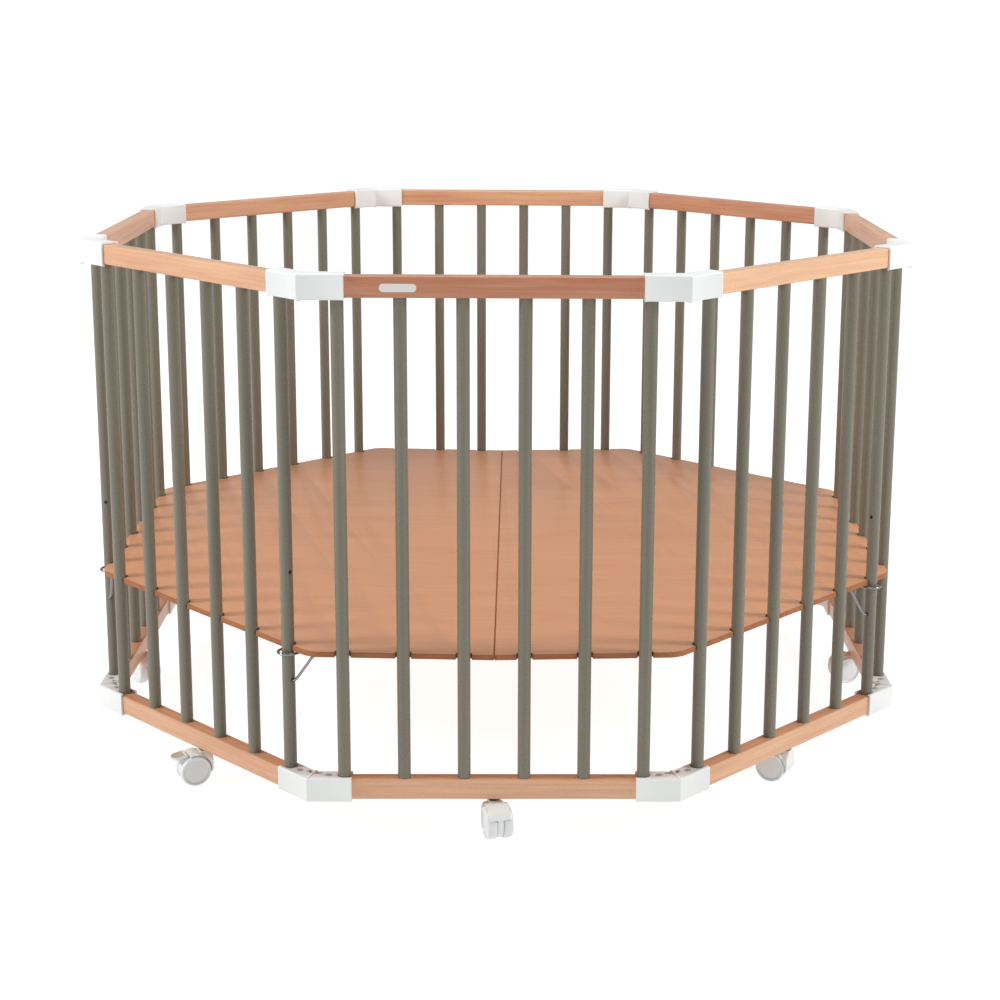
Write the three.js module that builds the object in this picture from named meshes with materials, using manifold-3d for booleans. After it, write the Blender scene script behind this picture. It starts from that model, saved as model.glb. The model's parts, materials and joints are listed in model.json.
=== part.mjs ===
// Eight-sided wooden playpen on casters with a two-part, height-adjustable floor.
// Units are millimetres, +Z is up, the front panel faces -Y, and the origin is on the
// ground under the middle of the pen.

import * as THREE from 'three';
import * as BufferGeometryUtils from 'three/addons/utils/BufferGeometryUtils.js';
import Module from 'manifold-3d';

const wasm = await Module();
wasm.setup();

// ---------------------------------------------------------------- driving dimensions

const PANEL_NAMES = [
  'front', 'front_right', 'right', 'back_right', 'back', 'back_left', 'left', 'front_left',
];
const PANEL_COUNT = PANEL_NAMES.length;
const PANEL_ANGLE = (2 * Math.PI) / PANEL_COUNT;
const HALF_ANGLE = PANEL_ANGLE / 2;

// bars
const BARS_PER_PANEL = 6;
const BAR_PITCH = 83;
const BAR_RADIUS = 9;
const BAR_SIDES = 12;
const BAR_TENON = 10; // how far a bar runs into each rail
const CORNER_TO_BAR = 46; // from the corner of the bar octagon to the nearest bar
const PANEL_WIDTH = (BARS_PER_PANEL - 1) * BAR_PITCH + 2 * CORNER_TO_BAR;
const APOTHEM = (PANEL_WIDTH / 2) / Math.tan(HALF_ANGLE); // centre of the pen to the bar axes
const END_BAR_X = ((BARS_PER_PANEL - 1) / 2) * BAR_PITCH;

// rails
const RAIL_HEIGHT = 29;
const RAIL_DEPTH = 23;
const RAIL_CHAMFER = 2.5;
const BOTTOM_RAIL_Z = 53; // underside of the lower rails
const TOP_RAIL_Z = 755; // underside of the upper rails
const RAIL_END_GAP = 1.5; // from the rail's mitred end to the mitre plane

// corner connectors
const CONNECTOR_WALL = 3;
const CONNECTOR_CLEARANCE = 0.3;
const CONNECTOR_ARM_END_X = 197; // where an arm ends, along the panel from its middle
const CONNECTOR_WEB = 2.4; // thickness of the web on the mitre plane
const CONNECTOR_RIB_HEIGHT = 1.5;
const BAR_NOTCH_RADIUS = 10;
const SCREW_WELL_X = 229;
const SCREW_WELL_RADIUS = 4.2;
const WINDOW_START_X = 238;

// floor
const FLOOR_SEAM_TOP_Z = 260.5; // upper surface beside the seam
const FLOOR_THICKNESS = 8;
const FLOOR_TILT = THREE.MathUtils.degToRad(1); // each half falls gently to the seam
const FLOOR_APOTHEM = APOTHEM + 1;
const FLOOR_CORNER_RADIUS = 32;
const FLOOR_NOTCH_RADIUS = 12;
const FLOOR_SEAM_GAP = 2;
const SEAM_PLATE_LENGTH = 90;
const SEAM_PLATE_WIDTH = 60;
const SEAM_PLATE_THICKNESS = 1.5;
const SEAM_PLATE_Y = APOTHEM - 130;

// wire supports under the floor, one on the last bar of six of the panels
const SUPPORT_SIDES = {
  front_left: 1, left: 1, back_left: -1, back_right: 1, right: 1, front_right: -1,
};
const WIRE_RADIUS = 2;
const WIRE_SIDES = 6;
const WIRE_DROP = 4.2; // wire centre below the underside of the floor
const LOOP_RADIUS = 14;
const LOOP_LEG = 48;
const PROP_PIVOT_X = 40; // from the bar's axis to the pivot, along the panel
const PROP_PIVOT_INSET = 11;
const PROP_PIVOT_LEG = 30;
const LOWER_HOLE_Z = 214;
const FLOOR_STEP = 156; // distance between the two floor heights
const HOLE_RADIUS = 2.8;
const HOLE_SIDES = 6;

// casters
const WHEEL_RADIUS = 23;
const WHEEL_SEGMENTS = 16;
const WHEEL_OUTER_Y = 18.5;
const WHEEL_INNER_Y = 4.9;
const AXLE_RADIUS = 3.2;
const CASTER_TRAIL = 18; // from the swivel axis back to the axle
const HOOD_INNER_RADIUS = 24;
const HOOD_OUTER_RADIUS = 26;
const HOOD_HALF_WIDTH = 16.5;
const WEB_HALF_WIDTH = 4.4;
const BOSS_RADIUS = 8.5;
const COLLAR_RADIUS = 7;
const STEM_RADIUS = 5;
const STEM_LENGTH = 18;
const STEM_BORE_RADIUS = 5.3;
const STEM_BORE_DEPTH = 20;
const SWIVEL_ANGLES = {
  front: -75, front_right: 151, right: 196, back_right: 28,
  back: 105, back_left: 118, left: -58, front_left: 207,
};
const BRAKED = ['front_left', 'front_right', 'back_left', 'back_right'];
const LEVER_PIVOT_ANGLE = 62; // position of the brake lever's pivot around the axle
const LEVER_PIVOT_RADIUS = 27;
const LEVER_SLOPE = THREE.MathUtils.degToRad(-24);
const LEVER_LENGTH = 18;
const LEVER_HALF_WIDTH = 12;
const LEVER_THICKNESS = 4;

// ---------------------------------------------------------------- materials

const beech = { color: 0xc98e6b, roughness: 0.45, metalness: 0 };
const floorBoard = { color: 0xcd9673, roughness: 0.5, metalness: 0 };
const whitePlastic = { color: 0xf1f3f2, roughness: 0.4, metalness: 0 };
const chromeWire = { color: 0xc8ccce, roughness: 0.2, metalness: 1 };
const steelPlate = { color: 0x9fa3a6, roughness: 0.35, metalness: 1 };

// ---------------------------------------------------------------- geometry helpers

function toSolid(geometry) {
  const plain = geometry.clone();
  plain.deleteAttribute('normal');
  plain.deleteAttribute('uv');
  const merged = BufferGeometryUtils.mergeVertices(plain, 1e-4);
  return new wasm.Manifold(new wasm.Mesh({
    numProp: 3,
    vertProperties: new Float32Array(merged.attributes.position.array),
    triVerts: new Uint32Array(merged.index.array),
  }));
}

function toGeometry(solid) {
  const mesh = solid.getMesh();
  const geometry = new THREE.BufferGeometry();
  geometry.setAttribute('position', new THREE.BufferAttribute(mesh.vertProperties, 3));
  geometry.setIndex(new THREE.BufferAttribute(mesh.triVerts, 1));
  geometry.computeVertexNormals();
  return geometry;
}

function union(solids) {
  return solids.reduce((sum, solid) => sum.add(solid));
}

function cut(body, tools) {
  return tools.reduce((rest, tool) => rest.subtract(tool), body);
}

function shapeFrom(points) {
  return new THREE.Shape(points.map(([x, y]) => new THREE.Vector2(x, y)));
}

// A prism standing on the XY plane between two heights.
function prismZ(points, z0, z1) {
  const geometry = new THREE.ExtrudeGeometry(shapeFrom(points), {
    depth: z1 - z0,
    bevelEnabled: false,
  });
  geometry.translate(0, 0, z0);
  return toSolid(geometry);
}

// A prism whose outline lies in the XZ plane, running along Y between two positions.
function prismY(points, y0, y1) {
  const geometry = new THREE.ExtrudeGeometry(shapeFrom(points), {
    depth: y1 - y0,
    bevelEnabled: false,
  });
  geometry.rotateX(Math.PI / 2);
  geometry.translate(0, y1, 0);
  return toSolid(geometry);
}

// A prism whose outline lies in the YZ plane, running along X between two positions.
function prismX(points, x0, x1) {
  const geometry = new THREE.ExtrudeGeometry(shapeFrom(points), {
    depth: x1 - x0,
    bevelEnabled: false,
  });
  geometry.rotateZ(Math.PI / 2);
  geometry.rotateY(Math.PI / 2);
  geometry.translate(x0, 0, 0);
  return toSolid(geometry);
}

function cylinderZ(radius, x, y, z0, z1, sides) {
  const geometry = new THREE.CylinderGeometry(radius, radius, z1 - z0, sides);
  geometry.rotateX(Math.PI / 2);
  geometry.translate(x, y, (z0 + z1) / 2);
  return toSolid(geometry);
}

function cylinderY(radius, x, z, y0, y1, sides) {
  const geometry = new THREE.CylinderGeometry(radius, radius, y1 - y0, sides);
  geometry.translate(x, (y0 + y1) / 2, z);
  return toSolid(geometry);
}

function cylinderX(radius, y, z, x0, x1, sides) {
  const geometry = new THREE.CylinderGeometry(radius, radius, x1 - x0, sides);
  geometry.rotateZ(Math.PI / 2);
  geometry.translate((x0 + x1) / 2, y, z);
  return toSolid(geometry);
}

function wire(path, steps) {
  const section = new THREE.Shape();
  for (let i = 0; i < WIRE_SIDES; i += 1) {
    const angle = (i / WIRE_SIDES) * 2 * Math.PI;
    const x = WIRE_RADIUS * Math.cos(angle);
    const y = WIRE_RADIUS * Math.sin(angle);
    if (i === 0) {
      section.moveTo(x, y);
    } else {
      section.lineTo(x, y);
    }
  }
  return new THREE.ExtrudeGeometry(section, { steps, extrudePath: path, bevelEnabled: false });
}

// A path of straight runs with a rounded bend of the given reach at each inner point.
function roundedPath(points, reach) {
  const path = new THREE.CurvePath();
  let start = points[0];
  for (let i = 1; i < points.length - 1; i += 1) {
    const corner = points[i];
    const before = corner.clone().lerp(points[i - 1], reach / corner.distanceTo(points[i - 1]));
    const after = corner.clone().lerp(points[i + 1], reach / corner.distanceTo(points[i + 1]));
    path.add(new THREE.LineCurve3(start, before));
    path.add(new THREE.QuadraticBezierCurve3(before, corner, after));
    start = after;
  }
  path.add(new THREE.LineCurve3(start, points[points.length - 1]));
  return path;
}

function circlePoints(cx, cy, radius, from, to, count) {
  const points = [];
  for (let i = 0; i <= count; i += 1) {
    const angle = from + ((to - from) * i) / count;
    points.push([cx + radius * Math.cos(angle), cy + radius * Math.sin(angle)]);
  }
  return points;
}

function turned([x, y], angle) {
  const c = Math.cos(angle);
  const s = Math.sin(angle);
  return [x * c - y * s, x * s + y * c];
}

function barX(index) {
  return (index - (BARS_PER_PANEL - 1) / 2) * BAR_PITCH;
}

// ---------------------------------------------------------------- scene graph helpers

const playpen = new THREE.Group();
playpen.name = 'playpen';

function addMesh(parent, name, geometry, look) {
  const mesh = new THREE.Mesh(geometry, new THREE.MeshStandardMaterial(look));
  mesh.name = name;
  parent.add(mesh);
  return mesh;
}

// One group for each panel direction: inside it the panel is the front one.
function panelGroup(index) {
  const group = new THREE.Group();
  group.rotation.z = index * PANEL_ANGLE;
  playpen.add(group);
  return group;
}

// ---------------------------------------------------------------- side panels

// A rail with chamfered edges and mitred ends.
function railSolid(z0) {
  const y0 = -APOTHEM - RAIL_DEPTH / 2;
  const y1 = -APOTHEM + RAIL_DEPTH / 2;
  const z1 = z0 + RAIL_HEIGHT;
  const c = RAIL_CHAMFER;
  const section = [
    [y0 + c, z0], [y1 - c, z0], [y1, z0 + c], [y1, z1 - c],
    [y1 - c, z1], [y0 + c, z1], [y0, z1 - c], [y0, z0 + c],
  ];
  const stick = prismX(section, -PANEL_WIDTH, PANEL_WIDTH);
  const backOff = RAIL_END_GAP / Math.cos(HALF_ANGLE);
  const reach = (y) => -y * Math.tan(HALF_ANGLE) - backOff;
  const near = y1 + 10;
  const far = y0 - 10;
  const wedge = prismZ(
    [[-reach(far), far], [reach(far), far], [reach(near), near], [-reach(near), near]],
    z0 - 5,
    z1 + 5,
  );
  return stick.intersect(wedge);
}

function panelGeometry(hasSupport) {
  const pieces = [railSolid(BOTTOM_RAIL_Z), railSolid(TOP_RAIL_Z)];
  const z0 = BOTTOM_RAIL_Z + RAIL_HEIGHT - BAR_TENON;
  const z1 = TOP_RAIL_Z + BAR_TENON;
  for (let i = 0; i < BARS_PER_PANEL; i += 1) {
    pieces.push(cylinderZ(BAR_RADIUS, barX(i), -APOTHEM, z0, z1, BAR_SIDES));
  }
  const cuts = [
    cylinderZ(
      STEM_BORE_RADIUS, 0, -APOTHEM, BOTTOM_RAIL_Z - 5, BOTTOM_RAIL_Z + STEM_BORE_DEPTH, 10,
    ),
  ];
  if (hasSupport) {
    for (const z of [LOWER_HOLE_Z, LOWER_HOLE_Z + FLOOR_STEP]) {
      cuts.push(cylinderX(HOLE_RADIUS, -APOTHEM, z, END_BAR_X - 20, END_BAR_X + 20, HOLE_SIDES));
    }
  }
  return toGeometry(cut(union(pieces), cuts));
}

const plainPanel = panelGeometry(false);
const drilledPanel = panelGeometry(true);

PANEL_NAMES.forEach((name, index) => {
  const geometry = name in SUPPORT_SIDES ? drilledPanel : plainPanel;
  addMesh(panelGroup(index), `side_panel_${name}`, geometry, beech);
});

// ---------------------------------------------------------------- corner connectors

// The connector is drawn around a corner that points to -Y, with its height centred on
// the rails and its bar side up. Its two arms follow the panels turned by -/+ 22.5 degrees.
function connectorGeometry() {
  const out = RAIL_DEPTH / 2 + CONNECTOR_WALL;
  const hollow = RAIL_DEPTH / 2 + CONNECTOR_CLEARANCE;
  const top = RAIL_HEIGHT / 2 + CONNECTOR_WALL;
  const roof = RAIL_HEIGHT / 2 + CONNECTOR_CLEARANCE;
  const end = CONNECTOR_ARM_END_X;
  const left = (x, n) => turned([x, -APOTHEM - n], -HALF_ANGLE);
  const right = (x, n) => turned([-x, -APOTHEM - n], HALF_ANGLE);
  const corner = (n) => [0, -(APOTHEM + n) / Math.cos(HALF_ANGLE)];
  const body = prismZ(
    [left(end, -out), left(end, out), corner(out), right(end, out), right(end, -out), corner(-out)],
    -top,
    top,
  );
  const webBack = CONNECTOR_WEB / 2 / Math.cos(HALF_ANGLE);
  const mitre = (n) => (APOTHEM + n) * Math.tan(HALF_ANGLE) - webBack;
  const cuts = [];
  for (const side of [left, right]) {
    const order = (points) => (side === left ? points : points.reverse());
    const outline = [
      side(end - 10, -hollow), side(end - 10, hollow),
      side(mitre(hollow), hollow), side(mitre(-hollow), -hollow),
    ];
    cuts.push(prismZ(order(outline), -roof, roof));
    const notch = [[end - 10, -BAR_NOTCH_RADIUS], [end - 10, BAR_NOTCH_RADIUS]];
    for (const point of circlePoints(END_BAR_X, 0, BAR_NOTCH_RADIUS, Math.PI / 2, -Math.PI / 2, 6)) {
      notch.push(point);
    }
    cuts.push(prismZ(order(notch.map(([x, n]) => side(x, n))), roof - 2, top + 5));
    const well = circlePoints(SCREW_WELL_X, 0, SCREW_WELL_RADIUS, 2 * Math.PI, 0, 6).slice(0, -1);
    cuts.push(prismZ(order(well.map(([x, n]) => side(x, n))), roof - 2, top + 5));
    const window = [
      [WINDOW_START_X, -hollow + 1], [WINDOW_START_X, -3.5],
      [mitre(-3.5) - 0.4, -3.5], [mitre(-hollow + 1) - 0.4, -hollow + 1],
    ];
    cuts.push(prismZ(order(window.map(([x, n]) => side(x, n))), roof - 2, top + 5));
  }
  const half = CONNECTOR_WEB / 2;
  const rib = prismZ(
    [
      [-half, corner(out)[1] + 1.5], [half, corner(out)[1] + 1.5],
      [half, corner(-out)[1] - 0.5], [-half, corner(-out)[1] - 0.5],
    ],
    top - 1,
    top + CONNECTOR_RIB_HEIGHT,
  );
  return toGeometry(cut(body, cuts).add(rib));
}

const connector = connectorGeometry();

PANEL_NAMES.forEach((name, index) => {
  const next = PANEL_NAMES[(index + 1) % PANEL_COUNT];
  const group = new THREE.Group();
  group.rotation.z = (index + 0.5) * PANEL_ANGLE;
  playpen.add(group);
  const bottom = addMesh(group, `bottom_connector_${name}_to_${next}`, connector, whitePlastic);
  bottom.position.z = BOTTOM_RAIL_Z + RAIL_HEIGHT / 2;
  const top = addMesh(group, `top_connector_${name}_to_${next}`, connector, whitePlastic);
  top.position.z = TOP_RAIL_Z + RAIL_HEIGHT / 2;
  top.rotation.y = Math.PI;
});

// ---------------------------------------------------------------- floor

// The right half of the floor, seen from above: x from the seam to the right-hand side.
function floorOutline() {
  const seamX = FLOOR_SEAM_GAP / 2;
  const points = [[seamX, -FLOOR_APOTHEM]];
  const edgeSets = [
    { panel: 0, bars: [3, 4, 5] }, { panel: 1, bars: [0, 1, 2, 3, 4, 5] },
    { panel: 2, bars: [0, 1, 2, 3, 4, 5] }, { panel: 3, bars: [0, 1, 2, 3, 4, 5] },
    { panel: 4, bars: [0, 1, 2] },
  ];
  const rise = FLOOR_APOTHEM - APOTHEM;
  const mouth = Math.asin(rise / FLOOR_NOTCH_RADIUS);
  const tangent = FLOOR_CORNER_RADIUS * Math.tan(HALF_ANGLE);
  const cornerX = FLOOR_APOTHEM * Math.tan(HALF_ANGLE);
  edgeSets.forEach(({ panel, bars }, at) => {
    for (const index of bars) {
      const arc = circlePoints(
        barX(index), -APOTHEM, FLOOR_NOTCH_RADIUS, Math.PI + mouth, -mouth, 7,
      );
      arc.forEach((point) => points.push(turned(point, panel * PANEL_ANGLE)));
    }
    if (at < edgeSets.length - 1) {
      const arc = circlePoints(
        cornerX - tangent, -FLOOR_APOTHEM + FLOOR_CORNER_RADIUS, FLOOR_CORNER_RADIUS,
        -Math.PI / 2, -Math.PI / 2 + PANEL_ANGLE, 4,
      );
      arc.forEach((point) => points.push(turned(point, panel * PANEL_ANGLE)));
    }
  });
  points.push([seamX, FLOOR_APOTHEM]);
  return points;
}

const floorHalf = toGeometry(prismZ(floorOutline(), -FLOOR_THICKNESS, 0));

const rightFloor = addMesh(playpen, 'floor_half_right', floorHalf, floorBoard);
rightFloor.position.z = FLOOR_SEAM_TOP_Z;
rightFloor.rotation.y = -FLOOR_TILT;

const leftTurn = new THREE.Group();
leftTurn.rotation.z = Math.PI;
playpen.add(leftTurn);
const leftFloor = addMesh(leftTurn, 'floor_half_left', floorHalf, floorBoard);
leftFloor.position.z = FLOOR_SEAM_TOP_Z;
leftFloor.rotation.y = -FLOOR_TILT;

function floorUnderside(x) {
  const drop = FLOOR_THICKNESS / Math.cos(FLOOR_TILT);
  return FLOOR_SEAM_TOP_Z + Math.abs(x) * Math.tan(FLOOR_TILT) - drop;
}

for (const [name, side] of [['front', -1], ['back', 1]]) {
  const plate = new THREE.BoxGeometry(
    SEAM_PLATE_WIDTH, SEAM_PLATE_LENGTH, SEAM_PLATE_THICKNESS,
  );
  const mesh = addMesh(playpen, `floor_seam_plate_${name}`, plate, steelPlate);
  const top = floorUnderside(0) - 0.3;
  mesh.position.set(0, side * SEAM_PLATE_Y, top - SEAM_PLATE_THICKNESS / 2);
}

// ---------------------------------------------------------------- floor supports

function loopGeometry() {
  const r = LOOP_RADIUS;
  const points = [];
  points.push(new THREE.Vector3(-r, LOOP_LEG, 0));
  points.push(new THREE.Vector3(-r, LOOP_LEG / 2, 0));
  for (let i = 0; i <= 8; i += 1) {
    const angle = Math.PI + (i / 8) * Math.PI;
    points.push(new THREE.Vector3(r * Math.cos(angle), r * Math.sin(angle), 0));
  }
  points.push(new THREE.Vector3(r, LOOP_LEG / 2, 0));
  points.push(new THREE.Vector3(r, LOOP_LEG, 0));
  const path = new THREE.CurvePath();
  for (let i = 0; i + 1 < points.length; i += 1) {
    path.add(new THREE.LineCurve3(points[i], points[i + 1]));
  }
  return wire(path, 17);
}

// The prop in its own frame: the pivot leg's axis is the Y axis, and the bar is on -X where
// side is 1 and on +X where it is -1.
function propGeometry(drop, side) {
  const path = roundedPath(
    [
      new THREE.Vector3(0, PROP_PIVOT_LEG, 0),
      new THREE.Vector3(0, 0, 0),
      new THREE.Vector3(-side * (PROP_PIVOT_X - 17), -PROP_PIVOT_INSET + 6, -drop + 5),
      new THREE.Vector3(
        -side * (PROP_PIVOT_X - BAR_RADIUS - 1.6), -PROP_PIVOT_INSET, -drop,
      ),
    ],
    4,
  );
  return wire(path, 14);
}

PANEL_NAMES.forEach((name, index) => {
  if (!(name in SUPPORT_SIDES)) {
    return;
  }
  const side = SUPPORT_SIDES[name];
  const group = panelGroup(index);
  const [worldX] = turned([END_BAR_X, -APOTHEM], index * PANEL_ANGLE);
  const wireZ = floorUnderside(worldX) - WIRE_DROP;
  const loop = addMesh(group, `floor_loop_${name}`, loopGeometry(), chromeWire);
  loop.position.set(END_BAR_X, -APOTHEM, wireZ);
  const geometry = propGeometry(wireZ - LOWER_HOLE_Z, side);
  const prop = addMesh(group, `floor_prop_${name}`, geometry, chromeWire);
  prop.position.set(END_BAR_X + side * PROP_PIVOT_X, -APOTHEM + PROP_PIVOT_INSET, wireZ);
});

// ---------------------------------------------------------------- casters

// The caster's own frame: the swivel axis is Z, the ground is z = 0, and the wheels trail
// towards +X.
function hoodGeometry(braked) {
  const cx = CASTER_TRAIL;
  const cz = WHEEL_RADIUS;
  const from = THREE.MathUtils.degToRad(braked ? 71 : 26);
  const to = THREE.MathUtils.degToRad(192);
  const arc = circlePoints(cx, cz, HOOD_OUTER_RADIUS, from, to, 7);
  circlePoints(cx, cz, HOOD_INNER_RADIUS, to, from, 7).forEach((point) => arc.push(point));
  const fender = prismY(arc, -HOOD_HALF_WIDTH, HOOD_HALF_WIDTH);
  const collarTop = BOTTOM_RAIL_Z - 0.3;
  const hoodTop = WHEEL_RADIUS + HOOD_OUTER_RADIUS;
  const mid = (HOOD_INNER_RADIUS + HOOD_OUTER_RADIUS) / 2;
  const bossOutline = [[9, hoodTop], [-BOSS_RADIUS, hoodTop], [-BOSS_RADIUS, 30]];
  circlePoints(cx, cz, mid, THREE.MathUtils.degToRad(164), THREE.MathUtils.degToRad(112), 3)
    .forEach((point) => bossOutline.push(point));
  const boss = prismY(bossOutline, -BOSS_RADIUS, BOSS_RADIUS);
  const web = [[-6, 30], [-6, 42], [2, 46.5]];
  circlePoints(cx, cz, HOOD_INNER_RADIUS + 0.6, Math.PI / 2, from, 2).forEach((p) => web.push(p));
  web.push([cx + 6, cz + 4]);
  circlePoints(cx, cz, 7, 0, -Math.PI, 3).forEach((point) => web.push(point));
  web.push([-6, 18]);
  const collar = cylinderZ(COLLAR_RADIUS, 0, 0, hoodTop - 4, collarTop, 8);
  const stem = cylinderZ(STEM_RADIUS, 0, 0, hoodTop - 2, BOTTOM_RAIL_Z + STEM_LENGTH, 8);
  const bore = cylinderY(AXLE_RADIUS + 0.5, cx, cz, -30, 30, 8);
  const middle = prismY(web.reverse(), -WEB_HALF_WIDTH, WEB_HALF_WIDTH);
  return toGeometry(union([fender, boss, middle, collar, stem]).subtract(bore));
}

function wheelsGeometry() {
  const grow = 1 / Math.cos(Math.PI / WHEEL_SEGMENTS);
  const half = [
    [0, WHEEL_OUTER_Y], [WHEEL_RADIUS - 4, WHEEL_OUTER_Y - 1.2],
    [WHEEL_RADIUS, WHEEL_OUTER_Y - 4], [WHEEL_RADIUS, WHEEL_INNER_Y + 1.5],
    [WHEEL_RADIUS - 2, WHEEL_INNER_Y], [AXLE_RADIUS, WHEEL_INNER_Y],
  ];
  const profile = [];
  half.forEach(([r, y]) => profile.push(new THREE.Vector2(r * grow, -y)));
  [...half].reverse().forEach(([r, y]) => profile.push(new THREE.Vector2(r * grow, y)));
  const geometry = new THREE.LatheGeometry(profile, WHEEL_SEGMENTS);
  geometry.rotateY(Math.PI / WHEEL_SEGMENTS);
  return toGeometry(toSolid(geometry));
}

// The brake lever in its own frame: it turns about the Y axis and its pad runs out along +X.
function leverGeometry() {
  const t = LEVER_THICKNESS / 2;
  const w = LEVER_HALF_WIDTH;
  const barrel = cylinderY(2.2, 0, 0, -w, w, 8);
  const pad = prismY(
    [[0, -t + 0.4], [LEVER_LENGTH - 3, -t], [LEVER_LENGTH, 0.6], [LEVER_LENGTH - 1, t], [0, t]],
    -w,
    w,
  );
  return toGeometry(barrel.add(pad));
}

const brakedHood = hoodGeometry(true);
const plainHood = hoodGeometry(false);
const wheels = wheelsGeometry();
const lever = leverGeometry();

PANEL_NAMES.forEach((name, index) => {
  const swivel = new THREE.Group();
  const [x, y] = turned([0, -APOTHEM], index * PANEL_ANGLE);
  swivel.position.set(x, y, 0);
  swivel.rotation.z = THREE.MathUtils.degToRad(SWIVEL_ANGLES[name]);
  playpen.add(swivel);
  const braked = BRAKED.includes(name);
  addMesh(swivel, `caster_hood_${name}`, braked ? brakedHood : plainHood, whitePlastic);
  const pair = addMesh(swivel, `caster_wheels_${name}`, wheels, whitePlastic);
  pair.position.set(CASTER_TRAIL, 0, WHEEL_RADIUS);
  if (braked) {
    const angle = THREE.MathUtils.degToRad(LEVER_PIVOT_ANGLE);
    const pivot = addMesh(swivel, `brake_lever_${name}`, lever, whitePlastic);
    pivot.position.set(
      CASTER_TRAIL + LEVER_PIVOT_RADIUS * Math.cos(angle),
      0,
      WHEEL_RADIUS + LEVER_PIVOT_RADIUS * Math.sin(angle),
    );
    pivot.rotation.y = -LEVER_SLOPE;
  }
});

export default playpen;
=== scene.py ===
"""Eight-sided wooden playpen: the visible pieces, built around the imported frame."""

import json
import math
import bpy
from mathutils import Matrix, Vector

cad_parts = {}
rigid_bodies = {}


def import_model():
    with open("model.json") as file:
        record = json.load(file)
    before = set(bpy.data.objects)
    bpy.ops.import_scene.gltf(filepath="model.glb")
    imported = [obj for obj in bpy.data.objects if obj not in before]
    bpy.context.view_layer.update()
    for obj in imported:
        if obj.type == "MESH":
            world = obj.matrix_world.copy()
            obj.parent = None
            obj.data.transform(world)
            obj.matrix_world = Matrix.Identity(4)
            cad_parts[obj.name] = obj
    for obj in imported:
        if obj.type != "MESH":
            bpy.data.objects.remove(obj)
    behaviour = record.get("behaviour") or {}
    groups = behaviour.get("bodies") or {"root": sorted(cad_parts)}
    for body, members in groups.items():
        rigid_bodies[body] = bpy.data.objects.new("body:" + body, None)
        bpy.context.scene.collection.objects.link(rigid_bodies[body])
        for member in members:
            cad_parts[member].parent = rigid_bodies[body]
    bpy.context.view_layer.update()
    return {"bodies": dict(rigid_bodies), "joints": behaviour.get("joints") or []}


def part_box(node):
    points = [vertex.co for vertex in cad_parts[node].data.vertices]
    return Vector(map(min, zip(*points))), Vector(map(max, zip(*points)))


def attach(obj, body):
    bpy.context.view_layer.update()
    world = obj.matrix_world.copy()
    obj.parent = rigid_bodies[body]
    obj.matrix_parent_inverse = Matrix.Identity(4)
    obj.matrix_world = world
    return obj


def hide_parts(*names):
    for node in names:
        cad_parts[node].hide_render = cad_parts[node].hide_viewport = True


bl_info = {
    "name": "Octagonal Playpen",
    "version": (1, 0, 0),
    "blender": (4, 5, 0),
    "location": "View3D > Sidebar > Playpen",
    "description": "Models the rails, bars, corners, floor and casters of a playpen",
    "category": "Object",
}

import bmesh
import bpy
from bpy.props import FloatProperty, FloatVectorProperty, IntProperty, PointerProperty
from mathutils import Matrix, Vector

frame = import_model()

MM = 0.001
PANELS = "front front_right right back_right back back_left left front_left".split()
TURN = math.radians(45)
HALF_TURN = TURN / 2
JOINTS = {joint["name"]: joint for joint in frame["joints"]}
SUPPORTED = [name for name in PANELS if "prop_" + name in frame["bodies"]]
BRAKED = [name for name in PANELS if "brake_" + name in frame["bodies"]]

PANEL_LOW, PANEL_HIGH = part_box("side_panel_front")
APOTHEM = -(PANEL_LOW.y + PANEL_HIGH.y) / 2
RAIL_DEPTH = PANEL_HIGH.y - PANEL_LOW.y
RAIL_HEIGHT = 29 * MM
LOW_RAIL = (PANEL_LOW.z, PANEL_LOW.z + RAIL_HEIGHT)
HIGH_RAIL = (PANEL_HIGH.z - RAIL_HEIGHT, PANEL_HIGH.z)

# Each rail's tone, 0 pale and 1 deep: partly the wood's own change from rail to rail and partly
# painted light and shade, with lit rails such as the top front-right one paler and shaded ones
# such as the top front and back-right ones deeper.
RAIL_TONES_AND_SHADE = {
    "bottom": (0.34, 0.42, 0.5, 0.58, 0.44, 0.52, 0.47, 0.5),
    "top": (0.86, 0.1, 0.5, 0.8, 0.46, 0.5, 0.44, 0.42),
}

BAR_COUNT = 6
BAR_PITCH = 83 * MM
END_BAR_X = BAR_PITCH * (BAR_COUNT - 1) / 2
HOLE_HEIGHTS = (214 * MM, 370 * MM)
HOLE_RADIUS = 2.8 * MM

ARM_END_X = 197 * MM
SHELL_OUT = RAIL_DEPTH / 2 + 3 * MM
SHELL_HOLLOW = RAIL_DEPTH / 2 + 0.3 * MM
SHELL_TOP = RAIL_HEIGHT / 2 + 3 * MM
SHELL_ROOF = RAIL_HEIGHT / 2 + 0.3 * MM
SHELL_WEB = 2.4 * MM
SCREW_X = 229 * MM

FLOOR_APOTHEM = APOTHEM + 1 * MM
FLOOR_THICK = 8 * MM
FLOOR_TILT = math.radians(1)
FLOOR_SEAM_Z = 260.5 * MM
SEAM_GAP = 0.12 * MM

LEVER_SLOPE = math.radians(8)
AXLE_X = 18 * MM
AXLE_Z = 23 * MM
STEM_BORE = 5.3 * MM
HOOD_WIDTH = 33 * MM
BRAKED_HOOD_START, PLAIN_HOOD_START, HOOD_END = 71, 26, 192


# ---- settings


def length(name, text, default):
    return FloatProperty(name=name, description=text, default=default * MM, unit="LENGTH")


def amount(name, text, default):
    return FloatProperty(name=name, description=text, default=default)


def bearing(name, text, degrees):
    return FloatProperty(
        name=name, description=text, default=math.radians(degrees), subtype="ANGLE"
    )


def paint(name, text, *colour):
    return FloatVectorProperty(
        name=name,
        description=text,
        default=(*colour, 1),
        size=4,
        min=0,
        max=1,
        subtype="COLOR",
    )


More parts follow.
